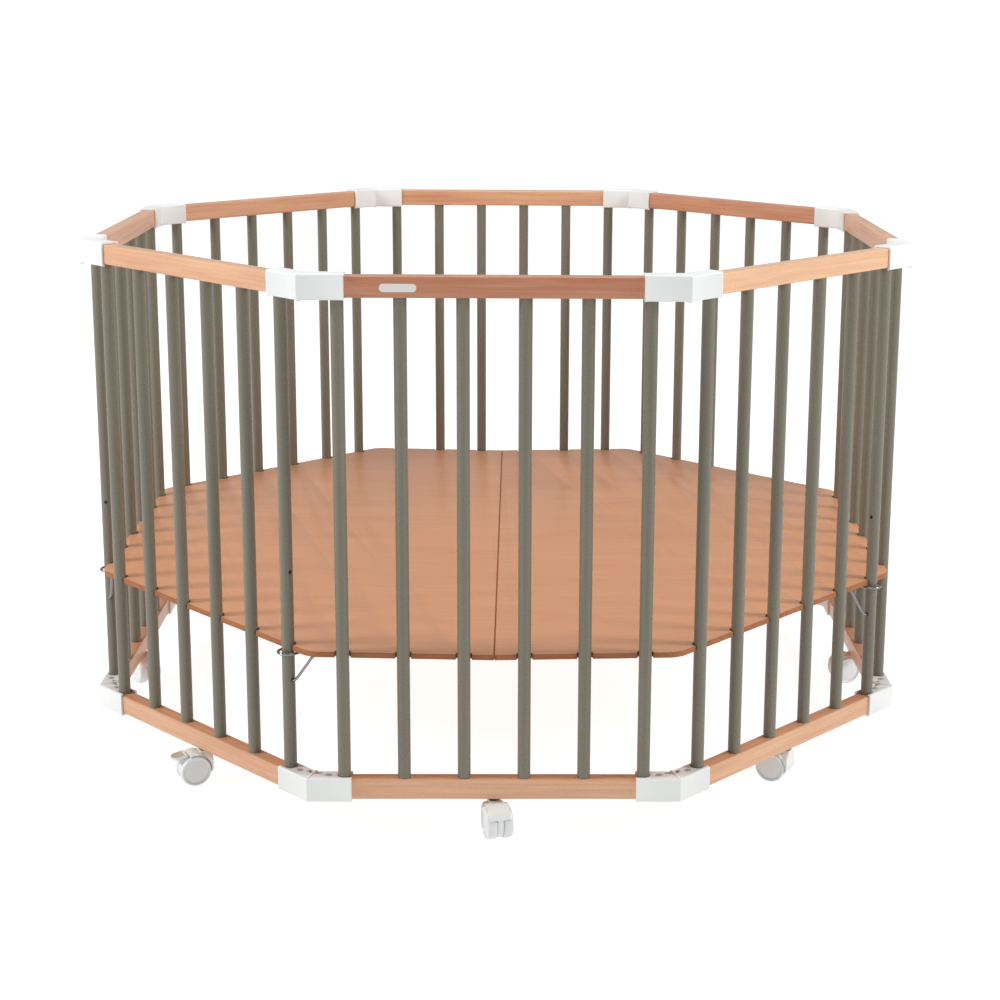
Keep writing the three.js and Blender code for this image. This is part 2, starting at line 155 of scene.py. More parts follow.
class PLAYPEN_PG_sizes(bpy.types.PropertyGroup):
    """Sizes that shape the detail of the pieces"""

    rail_round: length("Rail edge radius", "Rounding of each rail's long edges", 2.6)
    bar_radius: length("Bar radius", "Half the thickness of a round bar", 9)
    corner_round: length("Corner edge radius", "Rounding of the moulded corners", 3)
    corner_lip: length("Corner lip", "How far the band at an arm's end stands proud", 0.35)
    floor_corner: length("Floor corner radius", "Rounding of the floor's corners", 32)
    notch_radius: length("Floor notch radius", "Radius of the notch that lets a bar pass", 11)
    wire_radius: length("Wire radius", "Half the thickness of the wire under the floor", 2)
    wheel_radius: length("Wheel radius", "Radius of a caster's wheels", 23)
    round_steps: IntProperty(
        name="Round steps", description="Facets around a bar", default=40, min=12, max=96
    )


class PLAYPEN_PG_finishes(bpy.types.PropertyGroup):
    """Colours of the finishes"""

    beech_pale: paint("Beech, pale", "Pale growth in the rails", 0.834, 0.503, 0.29)
    beech_deep: paint("Beech, deep", "Deep growth in the rails", 0.521, 0.196, 0.097)
    board_pale: paint("Floor, pale", "Pale growth in the floor", 0.686, 0.339, 0.185)
    board_deep: paint("Floor, deep", "Deep growth in the floor", 0.577, 0.259, 0.13)
    # Darker than the floor's face: partly the cut wood's own colour and partly painted shade
    # for the seam between the halves.
    board_edge_and_seam_shade: paint("Floor edge", "Cut edge of the floor boards", 0.47, 0.18, 0.075)
    bar_paint: paint("Bar paint", "Grey-green paint on the bars", 0.2, 0.183, 0.135)
    corner_white: paint("Corner white", "Moulded corners", 0.86, 0.88, 0.87)
    caster_white: paint("Caster white", "Hoods of the casters", 0.82, 0.83, 0.79)
    wheel_white: paint("Wheel white", "Wheels of the casters", 0.86, 0.89, 0.90)
    # Partly the tread's own beige and partly painted shade on the lever's top, darker than its
    # white rim.
    lever_beige_and_shade: paint("Lever beige", "Tread of the brake levers", 0.52, 0.48, 0.40)
    # Darker than bright plating: painted shade and reflection of the dark underside of the
    # floor that the wire faces.
    plating: paint("Plating", "Bright plated wire and screws", 0.32, 0.32, 0.33)
    screw_bright: paint("Screw plating", "Bright heads of the corner screws", 0.52, 0.6, 0.64)
    zinc: paint("Zinc", "Zinc-plated sheet", 0.55, 0.56, 0.57)
    # Near-black: painted shade of the narrow gap between the hood's top and the rail, given to
    # the collar that sits there.
    collar_gap_shade: paint("Collar dark", "Dark swivel collars", 0.045, 0.035, 0.03)
    badge_pale: paint("Badge pale", "Plain badge on the front rail", 0.85, 0.80, 0.79)


class PLAYPEN_PG_stage(bpy.types.PropertyGroup):
    """Camera, lamps and floor of the stage"""

    camera_place: FloatVectorProperty(
        name="Camera place",
        description="Where the camera stands",
        default=(0.03096, -3.0207, 1.1155),
        size=3,
        subtype="TRANSLATION",
        unit="LENGTH",
    )
    camera_yaw: bearing("Camera yaw", "Turn of the camera towards the right", 0.89)
    camera_pitch: bearing("Camera pitch", "Tilt of the camera below level", 12.03)
    camera_roll: bearing("Camera roll", "Roll of the camera about its line of sight", 0.391)
    lens: amount("Lens", "Focal length in millimetres on a 36 mm frame", 66.506)
    shift_x: amount("Shift X", "Sideways shift of the picture", -0.0457)
    shift_y: amount("Shift Y", "Upward shift of the picture", -0.0887)
    sky: amount("Surround", "Light that the white surround gives", 0.43)
    sky_shine: amount("Surround shine", "How bright the surround itself looks", 1.02)
    floor_shine: amount("Floor shine", "How bright the pale floor itself looks", 0.86)
    floor_glow: amount("Floor glow", "Light that the pale floor gives off", 0.55)
    left_lamp: amount("Left lamp", "Power of the soft lamp on the left", 52)
    right_lamp: amount("Right lamp", "Power of the soft lamp on the right", 47)
    top_lamp: amount("Top lamp", "Power of the soft lamp overhead", 40)


# ---- modelling helpers


def deselect():
    bpy.ops.object.select_all(action="DESELECT")


def activate(obj):
    deselect()
    obj.select_set(True)
    bpy.context.view_layer.objects.active = obj


def settle(name):
    """Names the new object and moves its place, turn and size into its mesh."""
    obj = bpy.context.object
    obj.name = name
    obj.data.name = name
    bpy.ops.object.transform_apply(location=True, rotation=True, scale=True)
    return obj


def block(name, low, high):
    deselect()
    centre = [(a + b) / 2 for a, b in zip(low, high)]
    size = [b - a for a, b in zip(low, high)]
    bpy.ops.mesh.primitive_cube_add(size=1, location=centre, scale=size)
    return settle(name)


def rod(name, radius, start, end, steps=32):
    """A round rod between two points."""
    deselect()
    start, end = Vector(start), Vector(end)
    run = end - start
    turn = run.to_track_quat("Z", "Y").to_euler()
    bpy.ops.mesh.primitive_cylinder_add(
        vertices=steps,
        radius=radius,
        depth=run.length,
        location=(start + end) / 2,
        rotation=turn,
    )
    return settle(name)


def upright(name, radius, low, high, steps=32, x=0.0, y=0.0):
    return rod(name, radius, (x, y, low), (x, y, high), steps)


def outline(name, points):
    """A flat face, started from a circle of as many corners as there are points."""
    deselect()
    bpy.ops.mesh.primitive_circle_add(vertices=len(points), radius=1, fill_type="NGON")
    obj = settle(name)
    for corner, point in zip(obj.data.vertices, points, strict=True):
        corner.co = point
    return obj


def runs_along(edge, axis):
    """Whether an edge lies along X (0), Y (1) or Z (2)."""
    first, second = edge.verts
    return abs((first.co - second.co).normalized()[axis]) > 0.99


class editing:
    """Opens a piece in edit mode with nothing selected, and closes it again."""

    def __init__(self, obj, mode="FACE"):
        self.obj, self.mode = obj, mode

    def __enter__(self):
        activate(self.obj)
        bpy.ops.object.mode_set(mode="EDIT")
        bpy.ops.mesh.select_mode(type=self.mode)
        bpy.ops.mesh.select_all(action="DESELECT")
        return self

    def __exit__(self, *trouble):
        bpy.ops.object.mode_set(mode="OBJECT")

    def pick(self, test):
        """Selects only the vertices, edges or faces that pass the test."""
        bpy.ops.mesh.select_all(action="DESELECT")
        mesh = bmesh.from_edit_mesh(self.obj.data)
        kinds = {"VERT": mesh.verts, "EDGE": mesh.edges, "FACE": mesh.faces}
        for item in kinds[self.mode]:
            if test(item):
                item.select_set(True)
        mesh.select_flush_mode()
        bmesh.update_edit_mesh(self.obj.data)

    def all(self):
        bpy.ops.mesh.select_all(action="SELECT")

    def round_off(self, offset, segments):
        bpy.ops.mesh.bevel(offset=offset, segments=segments, affect="EDGES")

    def step(self, thickness, depth=0.0):
        bpy.ops.mesh.inset(thickness=thickness, depth=depth)

    def cut(self, place, normal, **keep):
        """Cuts the whole piece along a plane."""
        self.all()
        bpy.ops.mesh.bisect(plane_co=place, plane_no=normal, **keep)


def push(run):
    """Extrudes what is selected along a run."""
    bpy.ops.mesh.extrude_region_move(TRANSFORM_OT_translate={"value": run})


def mend(obj):
    """Merges doubles and turns every face outwards."""
    with editing(obj) as work:
        work.all()
        bpy.ops.mesh.remove_doubles(threshold=0.01 * MM)
        work.all()
        bpy.ops.mesh.normals_make_consistent(inside=False)


def prism(name, points, run):
    """A solid whose flat outline is pushed along a run."""
    obj = outline(name, points)
    with editing(obj) as work:
        work.all()
        push(run)
    mend(obj)
    return obj


def modify(obj, kind, **settings):
    activate(obj)
    modifier = obj.modifiers.new(kind, kind)
    for key, value in settings.items():
        setattr(modifier, key, value)
    bpy.ops.object.modifier_apply(modifier=modifier.name)


def carve(obj, tool, operation="DIFFERENCE"):
    modify(obj, "BOOLEAN", object=tool, operation=operation, solver="EXACT")
    bpy.data.objects.remove(tool)


def ease(obj, width, steps=2, angle=40):
    """Takes the sharpness off every edge that turns by more than the angle."""
    modify(
        obj,
        "BEVEL",
        width=width,
        segments=steps,
        limit_method="ANGLE",
        angle_limit=math.radians(angle),
    )


def smooth(obj, angle=32):
    activate(obj)
    bpy.ops.object.shade_smooth_by_angle(angle=math.radians(angle))


def turn_into(obj, matrix):
    """Moves a piece by a matrix, in its mesh."""
    activate(obj)
    obj.matrix_world = matrix
    bpy.ops.object.transform_apply(location=True, rotation=True, scale=True)


def copied(obj, name, matrix):
    """A copy with its own mesh, moved by a matrix."""
    twin = obj.copy()
    twin.data = obj.data.copy()
    twin.name = name
    twin.data.name = name
    bpy.context.scene.collection.objects.link(twin)
    twin.data.transform(matrix)
    return twin


def drop(*objects):
    for obj in objects:
        bpy.data.objects.remove(obj)


def revolve(name, section, centre, axis, angle=2 * math.pi, steps=48):
    """Spins a section about an axis. An open section is spun right round to a closed shape."""
    obj = outline(name, section)
    whole = angle > 6.28
    with editing(obj, "EDGE" if whole else "FACE") as work:
        if whole:
            bpy.ops.mesh.select_all(action="SELECT")
            bpy.ops.mesh.delete(type="ONLY_FACE")
        work.all()
        bpy.ops.mesh.spin(steps=steps, angle=angle, center=centre, axis=axis)
    mend(obj)
    return obj


def wire(name, points, radius, steps=12):
    """A bent wire through the points, with round bends, made a mesh."""
    deselect()
    bpy.ops.curve.primitive_bezier_curve_add()
    curve = bpy.context.object
    spline = curve.data.splines[0]
    spline.bezier_points.add(len(points) - 2)
    for knot, (place, before, after) in zip(spline.bezier_points, points, strict=True):
        knot.handle_left_type = "FREE"
        knot.handle_right_type = "FREE"
        knot.co = place
        knot.handle_left = before
        knot.handle_right = after
    curve.data.bevel_depth = radius
    curve.data.bevel_resolution = steps // 4
    curve.data.resolution_u = 6
    curve.data.use_fill_caps = True
    curve.data.twist_mode = "MINIMUM"
    activate(curve)
    bpy.ops.object.convert(target="MESH")
    obj = settle(name)
    mend(obj)
    return obj


def rounded_run(points, reach):
    """Curve knots for straight runs with a round bend of the given reach at inner points."""
    points = [Vector(p) for p in points]
    start = points[0]
    knots = [(start, start, start.lerp(points[1], 0.3))]
    for before, corner, after in zip(points, points[1:], points[2:]):
        enter = corner + (before - corner).normalized() * reach
        leave = corner + (after - corner).normalized() * reach
        knots.append((enter, enter.lerp(before, 0.3), enter.lerp(corner, 0.6)))
        knots.append((leave, leave.lerp(corner, 0.6), leave.lerp(after, 0.3)))
    end = points[-1]
    knots.append((end, end.lerp(points[-2], 0.3), end))
    return knots


def grain_from(obj, centre):
    """Keeps each point's place along the piece, so that the grain follows it when it turns."""
    layer = obj.data.attributes.new("grain_at", "FLOAT_VECTOR", "POINT")
    values = []
    for vertex in obj.data.vertices:
        values.extend(vertex.co - Vector(centre))
    layer.data.foreach_set("vector", values)


def regrain(obj, number):
    """Moves the grain of one copy, so that no two copies look alike."""
    layer = obj.data.attributes["grain_at"]
    values = [0.0] * (3 * len(layer.data))
    layer.data.foreach_get("vector", values)
    step = (1.73 * number, 0.31 * number, 0.47 * number)
    values = [value + step[i % 3] for i, value in enumerate(values)]
    layer.data.foreach_set("vector", values)


def tone_and_shade_rail(obj, tone):
    """Makes one rail's wood paler or deeper than the next, partly by the wood's own tone and
    partly by painted light and shade that follow how brightly each rail is lit: 0 is pale and 1
    is deep.
    """
    layer = obj.data.attributes.new("rail_tone", "FLOAT", "POINT")
    layer.data.foreach_set("value", [tone] * len(layer.data))


def shift(x, y, z):
    return Matrix.Translation((x, y, z))


def panel_turn(index):
    return Matrix.Rotation(index * TURN, 4, "Z")


def belong(obj, body, node=""):
    """Says what body a piece rides on and what CAD node it stands for, which it hides."""
    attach(obj, body)
    if node:
        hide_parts(node)


def finish_piece(obj, body, look, node=""):
    obj.data.materials.clear()
    obj.data.materials.append(finish(look))
    belong(obj, body, node)


def place_copy(source, name, matrix, body, look, node=""):
    """Copies a finished shape to its place and gives the copy its look and its body."""
    piece = copied(source, name, matrix)
    finish_piece(piece, body, look, node)


# ---- materials


class nodes_of:
    """Adds and links nodes in a tree, from left to right."""

    def __init__(self, tree):
        self.tree = tree
        self.column = 0

    def add(self, kind, links=None, **settings):
        node = self.tree.nodes.new(kind)
        self.column += 180
        node.location = (self.column, 0)
        for key, value in settings.items():
            setattr(node, key, value)
        for key, value in (links or {}).items():
            if isinstance(value, bpy.types.NodeSocket):
                self.tree.links.new(value, node.inputs[key])
            else:
                node.inputs[key].default_value = value
        return node

    def noise(self, vector, scale, detail=4.0, rough=0.5, twist=0.0):
        node = self.add(
            "ShaderNodeTexNoise",
            {
                "Vector": vector,
                "Scale": scale,
                "Detail": detail,
                "Roughness": rough,
                "Distortion": twist,
            },
        )
        return node.outputs["Fac"]

    def streaks(self, vector, scale, detail, rough, twist=0.0):
        """Noise with a different scale along each axis."""
        node = self.add("ShaderNodeMapping", {"Vector": vector, "Scale": scale})
        return self.noise(node.outputs["Vector"], 1.0, detail, rough, twist)

    def span(self, value, low, high, to_low=0.0, to_high=1.0):
        node = self.add(
            "ShaderNodeMapRange",
            {
                "Value": value,
                "From Min": low,
                "From Max": high,
                "To Min": to_low,
                "To Max": to_high,
            },
        )
        return node.outputs["Result"]

    def maths(self, operation, a, b):
        node = self.add("ShaderNodeMath", {0: a, 1: b}, operation=operation)
        return node.outputs[0]

    def add_up(self, a, b):
        return self.maths("ADD", a, b)

    def times(self, a, b):
        return self.maths("MULTIPLY", a, b)

    def mix(self, share, a, b, blend="MIX"):
        """Mixes two colours, whose sockets are the node's seventh and eighth."""
        links = {0: share, 6: a, 7: b}
        node = self.add("ShaderNodeMix", links, data_type="RGBA", blend_type=blend)
        return node.outputs[2]


def start_group(name, **inputs):
    """A pattern's node group: colours for tuples and floats for numbers, and a vector."""
    group = bpy.data.node_groups.new(name, "ShaderNodeTree")

    def socket(label, kind, way="INPUT"):
        return group.interface.new_socket(
            name=label, in_out=way, socket_type="NodeSocket" + kind
        )

    socket("Vector", "Vector")
    for label, default in inputs.items():
        kind = "Color" if isinstance(default, tuple) else "Float"
        socket(label, kind).default_value = default
    socket("Color", "Color", "OUTPUT")
    socket("Roughness", "Float", "OUTPUT")
    socket("Height", "Float", "OUTPUT")
    work = nodes_of(group)
    return group, work, work.add("NodeGroupInput").outputs


def end_group(work, colour, rough, height):
    work.add("NodeGroupOutput", {"Color": colour, "Roughness": rough, "Height": height})


def wood_grain_group():
    """Straight, fine-pored wood: long streaks, short flecks and a slow change of tone."""
    group, work, entry = start_group(
        "wood_grain",
        Pale=(0.6, 0.4, 0.2, 1),
        Deep=(0.4, 0.2, 0.1, 1),
        Tone=0.5,
        Fleck=0.3,
        Gloss=0.4,
    )
    vector = entry["Vector"]
    slow = work.streaks(vector, (2.2, 14, 14), 3.0, 0.5, 0.6)
    streak = work.streaks(vector, (7, 190, 190), 5.0, 0.6, 0.35)
    fleck = work.streaks(vector, (230, 1300, 1300), 2.0, 0.5, 0.0)
    # On the rails the Tone input carries each rail's own tone mixed with painted light and
    # shade.
    drift = work.add_up(work.span(slow, 0.3, 0.7, -0.17, 0.17), entry["Tone"])
    tone = work.add_up(drift, work.span(streak, 0.3, 0.7, -0.2, 0.2))
    tone = work.span(tone, 0.0, 1.0)
    base = work.mix(tone, entry["Pale"], entry["Deep"])
    pore = work.span(fleck, 0.60, 0.74)
    share = work.times(pore, entry["Fleck"])
    dark = work.mix(1.0, entry["Deep"], (0.55, 0.5, 0.46, 1), "MULTIPLY")
    colour = work.mix(share, base, dark)
    rough = work.add_up(entry["Gloss"], work.span(streak, 0.2, 0.8, -0.05, 0.08))
    height = work.maths("SUBTRACT", work.span(streak, 0.2, 0.8, 0.0, 0.6), pore)
    end_group(work, colour, rough, height)
    return group


def painted_group():
    """Sprayed satin paint on turned wood: faint lengthwise grain under a slight peel."""
    group, work, entry = start_group(
        "satin_paint",
        Paint=(0.2, 0.2, 0.2, 1),
        Shift=0.12,
        Gloss=0.4,
    )
    vector = entry["Vector"]
    peel = work.streaks(vector, (520, 520, 300), 3.0, 0.5)
    grain = work.streaks(vector, (420, 420, 9), 4.0, 0.6)
    slow = work.streaks(vector, (9, 9, 3), 2.0, 0.5)
    deep = work.mix(1.0, entry["Paint"], (0.72, 0.70, 0.68, 1), "MULTIPLY")
    tone = work.add_up(work.span(grain, 0.3, 0.7, -0.5, 0.5), work.span(slow, 0.3, 0.7))
    share = work.times(tone, entry["Shift"])
    colour = work.mix(share, entry["Paint"], deep)
    rough = work.add_up(entry["Gloss"], work.span(peel, 0.3, 0.7, -0.04, 0.06))
    height = work.add_up(work.span(grain, 0.2, 0.8, 0, 0.7), work.span(peel, 0.2, 0.8, 0, 0.5))
    end_group(work, colour, rough, height)
    return group


def moulded_group():
    """Moulded plastic: a fine spark texture, slow flow marks and a little handling dirt."""
    group, work, entry = start_group(
        "moulded_plastic",
        Base=(0.8, 0.8, 0.8, 1),
        Dirt=0.06,
        Gloss=0.35,
    )
    vector = entry["Vector"]
    spark = work.noise(vector, 1500.0, 3.0, 0.6)
    flow = work.streaks(vector, (16, 16, 26), 3.0, 0.5, 0.8)
    patch = work.noise(vector, 46.0, 5.0, 0.65)
    dull = work.mix(1.0, entry["Base"], (0.80, 0.78, 0.72, 1), "MULTIPLY")
    tone = work.times(work.span(patch, 0.45, 0.75), work.span(flow, 0.35, 0.65))
    share = work.times(tone, entry["Dirt"])
    colour = work.mix(share, entry["Base"], dull)
    rough = work.add_up(entry["Gloss"], work.span(flow, 0.3, 0.7, -0.03, 0.07))
    height = work.add_up(work.span(spark, 0.2, 0.8, 0, 0.5), work.span(flow, 0.2, 0.8, 0, 0.4))
    end_group(work, colour, rough, height)
    return group


def plated_group():
    """Plated metal: fine hairlines, slight clouding and small spots."""
    group, work, entry = start_group(
        "plated_metal",
        Metal=(0.7, 0.7, 0.7, 1),
        Cloud=0.15,
        Gloss=0.2,
    )
    vector = entry["Vector"]
    cloud = work.noise(vector, 130.0, 4.0, 0.6)
    line = work.streaks(vector, (60, 900, 900), 3.0, 0.6)
    deep = work.mix(1.0, entry["Metal"], (0.62, 0.62, 0.64, 1), "MULTIPLY")
    share = work.times(work.span(cloud, 0.4, 0.7), entry["Cloud"])
    colour = work.mix(share, entry["Metal"], deep)
    rough = work.add_up(entry["Gloss"], work.span(cloud, 0.35, 0.7, 0, 0.14))
    end_group(work, colour, rough, work.span(line, 0.2, 0.8))
    return group


def material(name, group, values, vector="Object", tone="", bump=0.1, depth=0.1 * MM, **shader):
    """A finish whose pattern comes from a shared group, and whose shader stays here."""
    made = bpy.data.materials.new(name)
    made.use_nodes = True
    tree = made.node_tree
    tree.nodes.clear()
    work = nodes_of(tree)
    if vector == "Object":
        source = work.add("ShaderNodeTexCoord").outputs["Object"]
    else:
        source = work.add("ShaderNodeAttribute", attribute_name=vector).outputs["Vector"]
    pattern = work.add("ShaderNodeGroup", node_tree=group)
    tree.links.new(source, pattern.inputs["Vector"])
    for key, value in values.items():
        pattern.inputs[key].default_value = value
    if tone:
        shade = work.add("ShaderNodeAttribute", attribute_name=tone).outputs["Fac"]
        tree.links.new(shade, pattern.inputs["Tone"])
    raised = work.add(
        "ShaderNodeBump",
        {"Height": pattern.outputs["Height"], "Strength": bump, "Distance": depth},
    )
    surface = work.add(
        "ShaderNodeBsdfPrincipled",
        {
            "Base Color": pattern.outputs["Color"],
            "Roughness": pattern.outputs["Roughness"],
            "Normal": raised.outputs["Normal"],
        },
    )
    for key, value in shader.items():
        surface.inputs[key.replace("_", " ")].default_value = value
    work.add("ShaderNodeOutputMaterial", {"Surface": surface.outputs["BSDF"]})
    return made


def build_materials():
    tints = bpy.context.scene.playpen_finishes
    wood = wood_grain_group()
    paint_coat = painted_group()
    plastic = moulded_group()
    metal = plated_group()
    material(
        "varnished_beech",
        wood,
        {"Pale": tints.beech_pale, "Deep": tints.beech_deep, "Fleck": 0.45, "Gloss": 0.36},
        vector="grain_at",
        tone="rail_tone",
        bump=0.25,
        Coat_Weight=0.55,
        Coat_Roughness=0.2,
    )
    material(
        "floor_veneer",
        wood,
        {"Pale": tints.board_pale, "Deep": tints.board_deep, "Fleck": 0.3, "Gloss": 0.38},
        vector="grain_at",
        bump=0.12,
        Coat_Weight=0.12,
        Coat_Roughness=0.22,
    )
    # Cut edges: partly the cut wood's own darker colour and partly painted shade, so that the
    # seam between the halves reads as a dark line.
    edge = tints.board_edge_and_seam_shade
    material(
        "floor_cut_edge",
        wood,
        {"Pale": edge, "Deep": [0.6 * c for c in edge[:3]] + [1], "Fleck": 0.6, "Gloss": 0.55},
        vector="grain_at",
        bump=0.3,
        Specular_IOR_Level=0.25,
    )
    material(
        "bar_paint",
        paint_coat,
        {"Paint": tints.bar_paint, "Shift": 0.3, "Gloss": 0.29},
        bump=0.15,
    )
    for name, tint, dirt, gloss in (
        ("corner_plastic", tints.corner_white, 0.10, 0.36),
        ("caster_plastic", tints.caster_white, 0.22, 0.30),
        ("wheel_plastic", tints.wheel_white, 0.25, 0.28),
        ("lever_rim_plastic", tints.caster_white, 0.25, 0.34),
        ("lever_tread_plastic", tints.lever_beige_and_shade, 0.3, 0.5),
        ("badge_plastic", tints.badge_pale, 0.08, 0.3),
        ("collar_plastic", tints.collar_gap_shade, 0.3, 0.45),
    ):
        material(
            name,
            plastic,
            {"Base": tint, "Dirt": dirt, "Gloss": gloss},
            bump=0.12,
            depth=0.05 * MM,
        )
    for name, tint, cloud, gloss, bump, depth, metallic in (
        # The wire's plating is darker than bright plating: painted shade and reflection of the
        # dark floor underside.
        ("bright_wire", tints.plating, 0.25, 0.14, 0.05, 0.02, 1.0),
        ("screw_plating", tints.screw_bright, 0.3, 0.34, 0.05, 0.02, 0.35),
        ("zinc_sheet", tints.zinc, 0.6, 0.32, 0.12, 0.03, 1.0),
    ):
        material(
            name,
            metal,
            {"Metal": tint, "Cloud": cloud, "Gloss": gloss},
            bump=bump,
            depth=depth * MM,
            Metallic=metallic,
        )


def finish(name):
    return bpy.data.materials[name]


# ---- pieces


class PLAYPEN_OT_finishes(bpy.types.Operator):
    """Build the shared patterns and the finishes of every piece"""

    bl_idname = "playpen.finishes"
    bl_label = "Finishes"

    def execute(self, context):
        build_materials()
        return {"FINISHED"}


class PLAYPEN_OT_rails(bpy.types.Operator):
    """Add the sixteen mitred beech rails"""

    bl_idname = "playpen.rails"
    bl_label = "Rails"

    def one_rail(self, heights, size):
        reach = 280 * MM
        half = RAIL_DEPTH / 2
        rail = block(
            "rail", (-reach, -APOTHEM - half, heights[0]), (reach, -APOTHEM + half, heights[1])
        )
        for side in (-1, 1):
            outward = Vector((side * math.cos(HALF_TURN), math.sin(HALF_TURN), 0))
            with editing(rail) as work:
                work.cut(outward * (-1.5 * MM), outward, clear_outer=True, use_fill=True)
        with editing(rail, "EDGE") as work:
            work.pick(lambda e: runs_along(e, 0))
            work.round_off(size.rail_round, 5)
        mend(rail)
        return rail

    def execute(self, context):
        size = context.scene.playpen_sizes
        for level, heights in (("bottom", LOW_RAIL), ("top", HIGH_RAIL)):
            rail = self.one_rail(heights, size)
            if level == "bottom":
                foot, top = heights[0] - 5 * MM, heights[0] + 20 * MM
                carve(rail, upright("bore", STEM_BORE, foot, top, y=-APOTHEM))
            ease(rail, 0.4 * MM, 1, 50)
            smooth(rail)
            grain_from(rail, (0, -APOTHEM, heights[0]))
            for index, name in enumerate(PANELS):
                piece = copied(rail, f"{level}_rail_{name}", panel_turn(index))
                regrain(piece, index + (0 if level == "bottom" else 11))
                tone_and_shade_rail(piece, RAIL_TONES_AND_SHADE[level][index])
                finish_piece(piece, "frame", "varnished_beech", f"side_panel_{name}")
            drop(rail)
        return {"FINISHED"}


class PLAYPEN_OT_bars(bpy.types.Operator):
    """Add the six round painted bars of each side, drilled where a floor prop hooks in"""

    bl_idname = "playpen.bars"
    bl_label = "Bars"

    def execute(self, context):
        size = context.scene.playpen_sizes
        low, high = LOW_RAIL[1] - 0.4 * MM, HIGH_RAIL[0] + 0.4 * MM
        plain = upright("bar", size.bar_radius, low, high, size.round_steps, y=-APOTHEM)
        with editing(plain) as work:
            for way in (1, -1):
                work.pick(lambda f: abs(f.normal.z) > 0.9 and f.normal.z * way > 0)
                work.step(0.5 * MM, 0.5 * MM)
                work.step(1.5 * MM)
                push((0, 0, way * 9 * MM))
        smooth(plain)
        drilled = copied(plain, "drilled_bar", Matrix())
        for height in HOLE_HEIGHTS:
            tool = rod(
                "drill",
                HOLE_RADIUS,
                (-20 * MM, -APOTHEM, height),
                (20 * MM, -APOTHEM, height),
                24,
            )
            carve(drilled, tool)
        ease(drilled, 0.25 * MM, 1, 45)
        smooth(drilled)
        for index, name in enumerate(PANELS):
            for number in range(BAR_COUNT):
                last = number == BAR_COUNT - 1
                source = drilled if last and name in SUPPORTED else plain
                across = shift(number * BAR_PITCH - END_BAR_X, 0, 0)
                spot = panel_turn(index) @ across
                piece = f"bar_{name}_{number + 1}"
                place_copy(source, piece, spot, "frame", "bar_paint", f"side_panel_{name}")
        drop(plain, drilled)
        return {"FINISHED"}


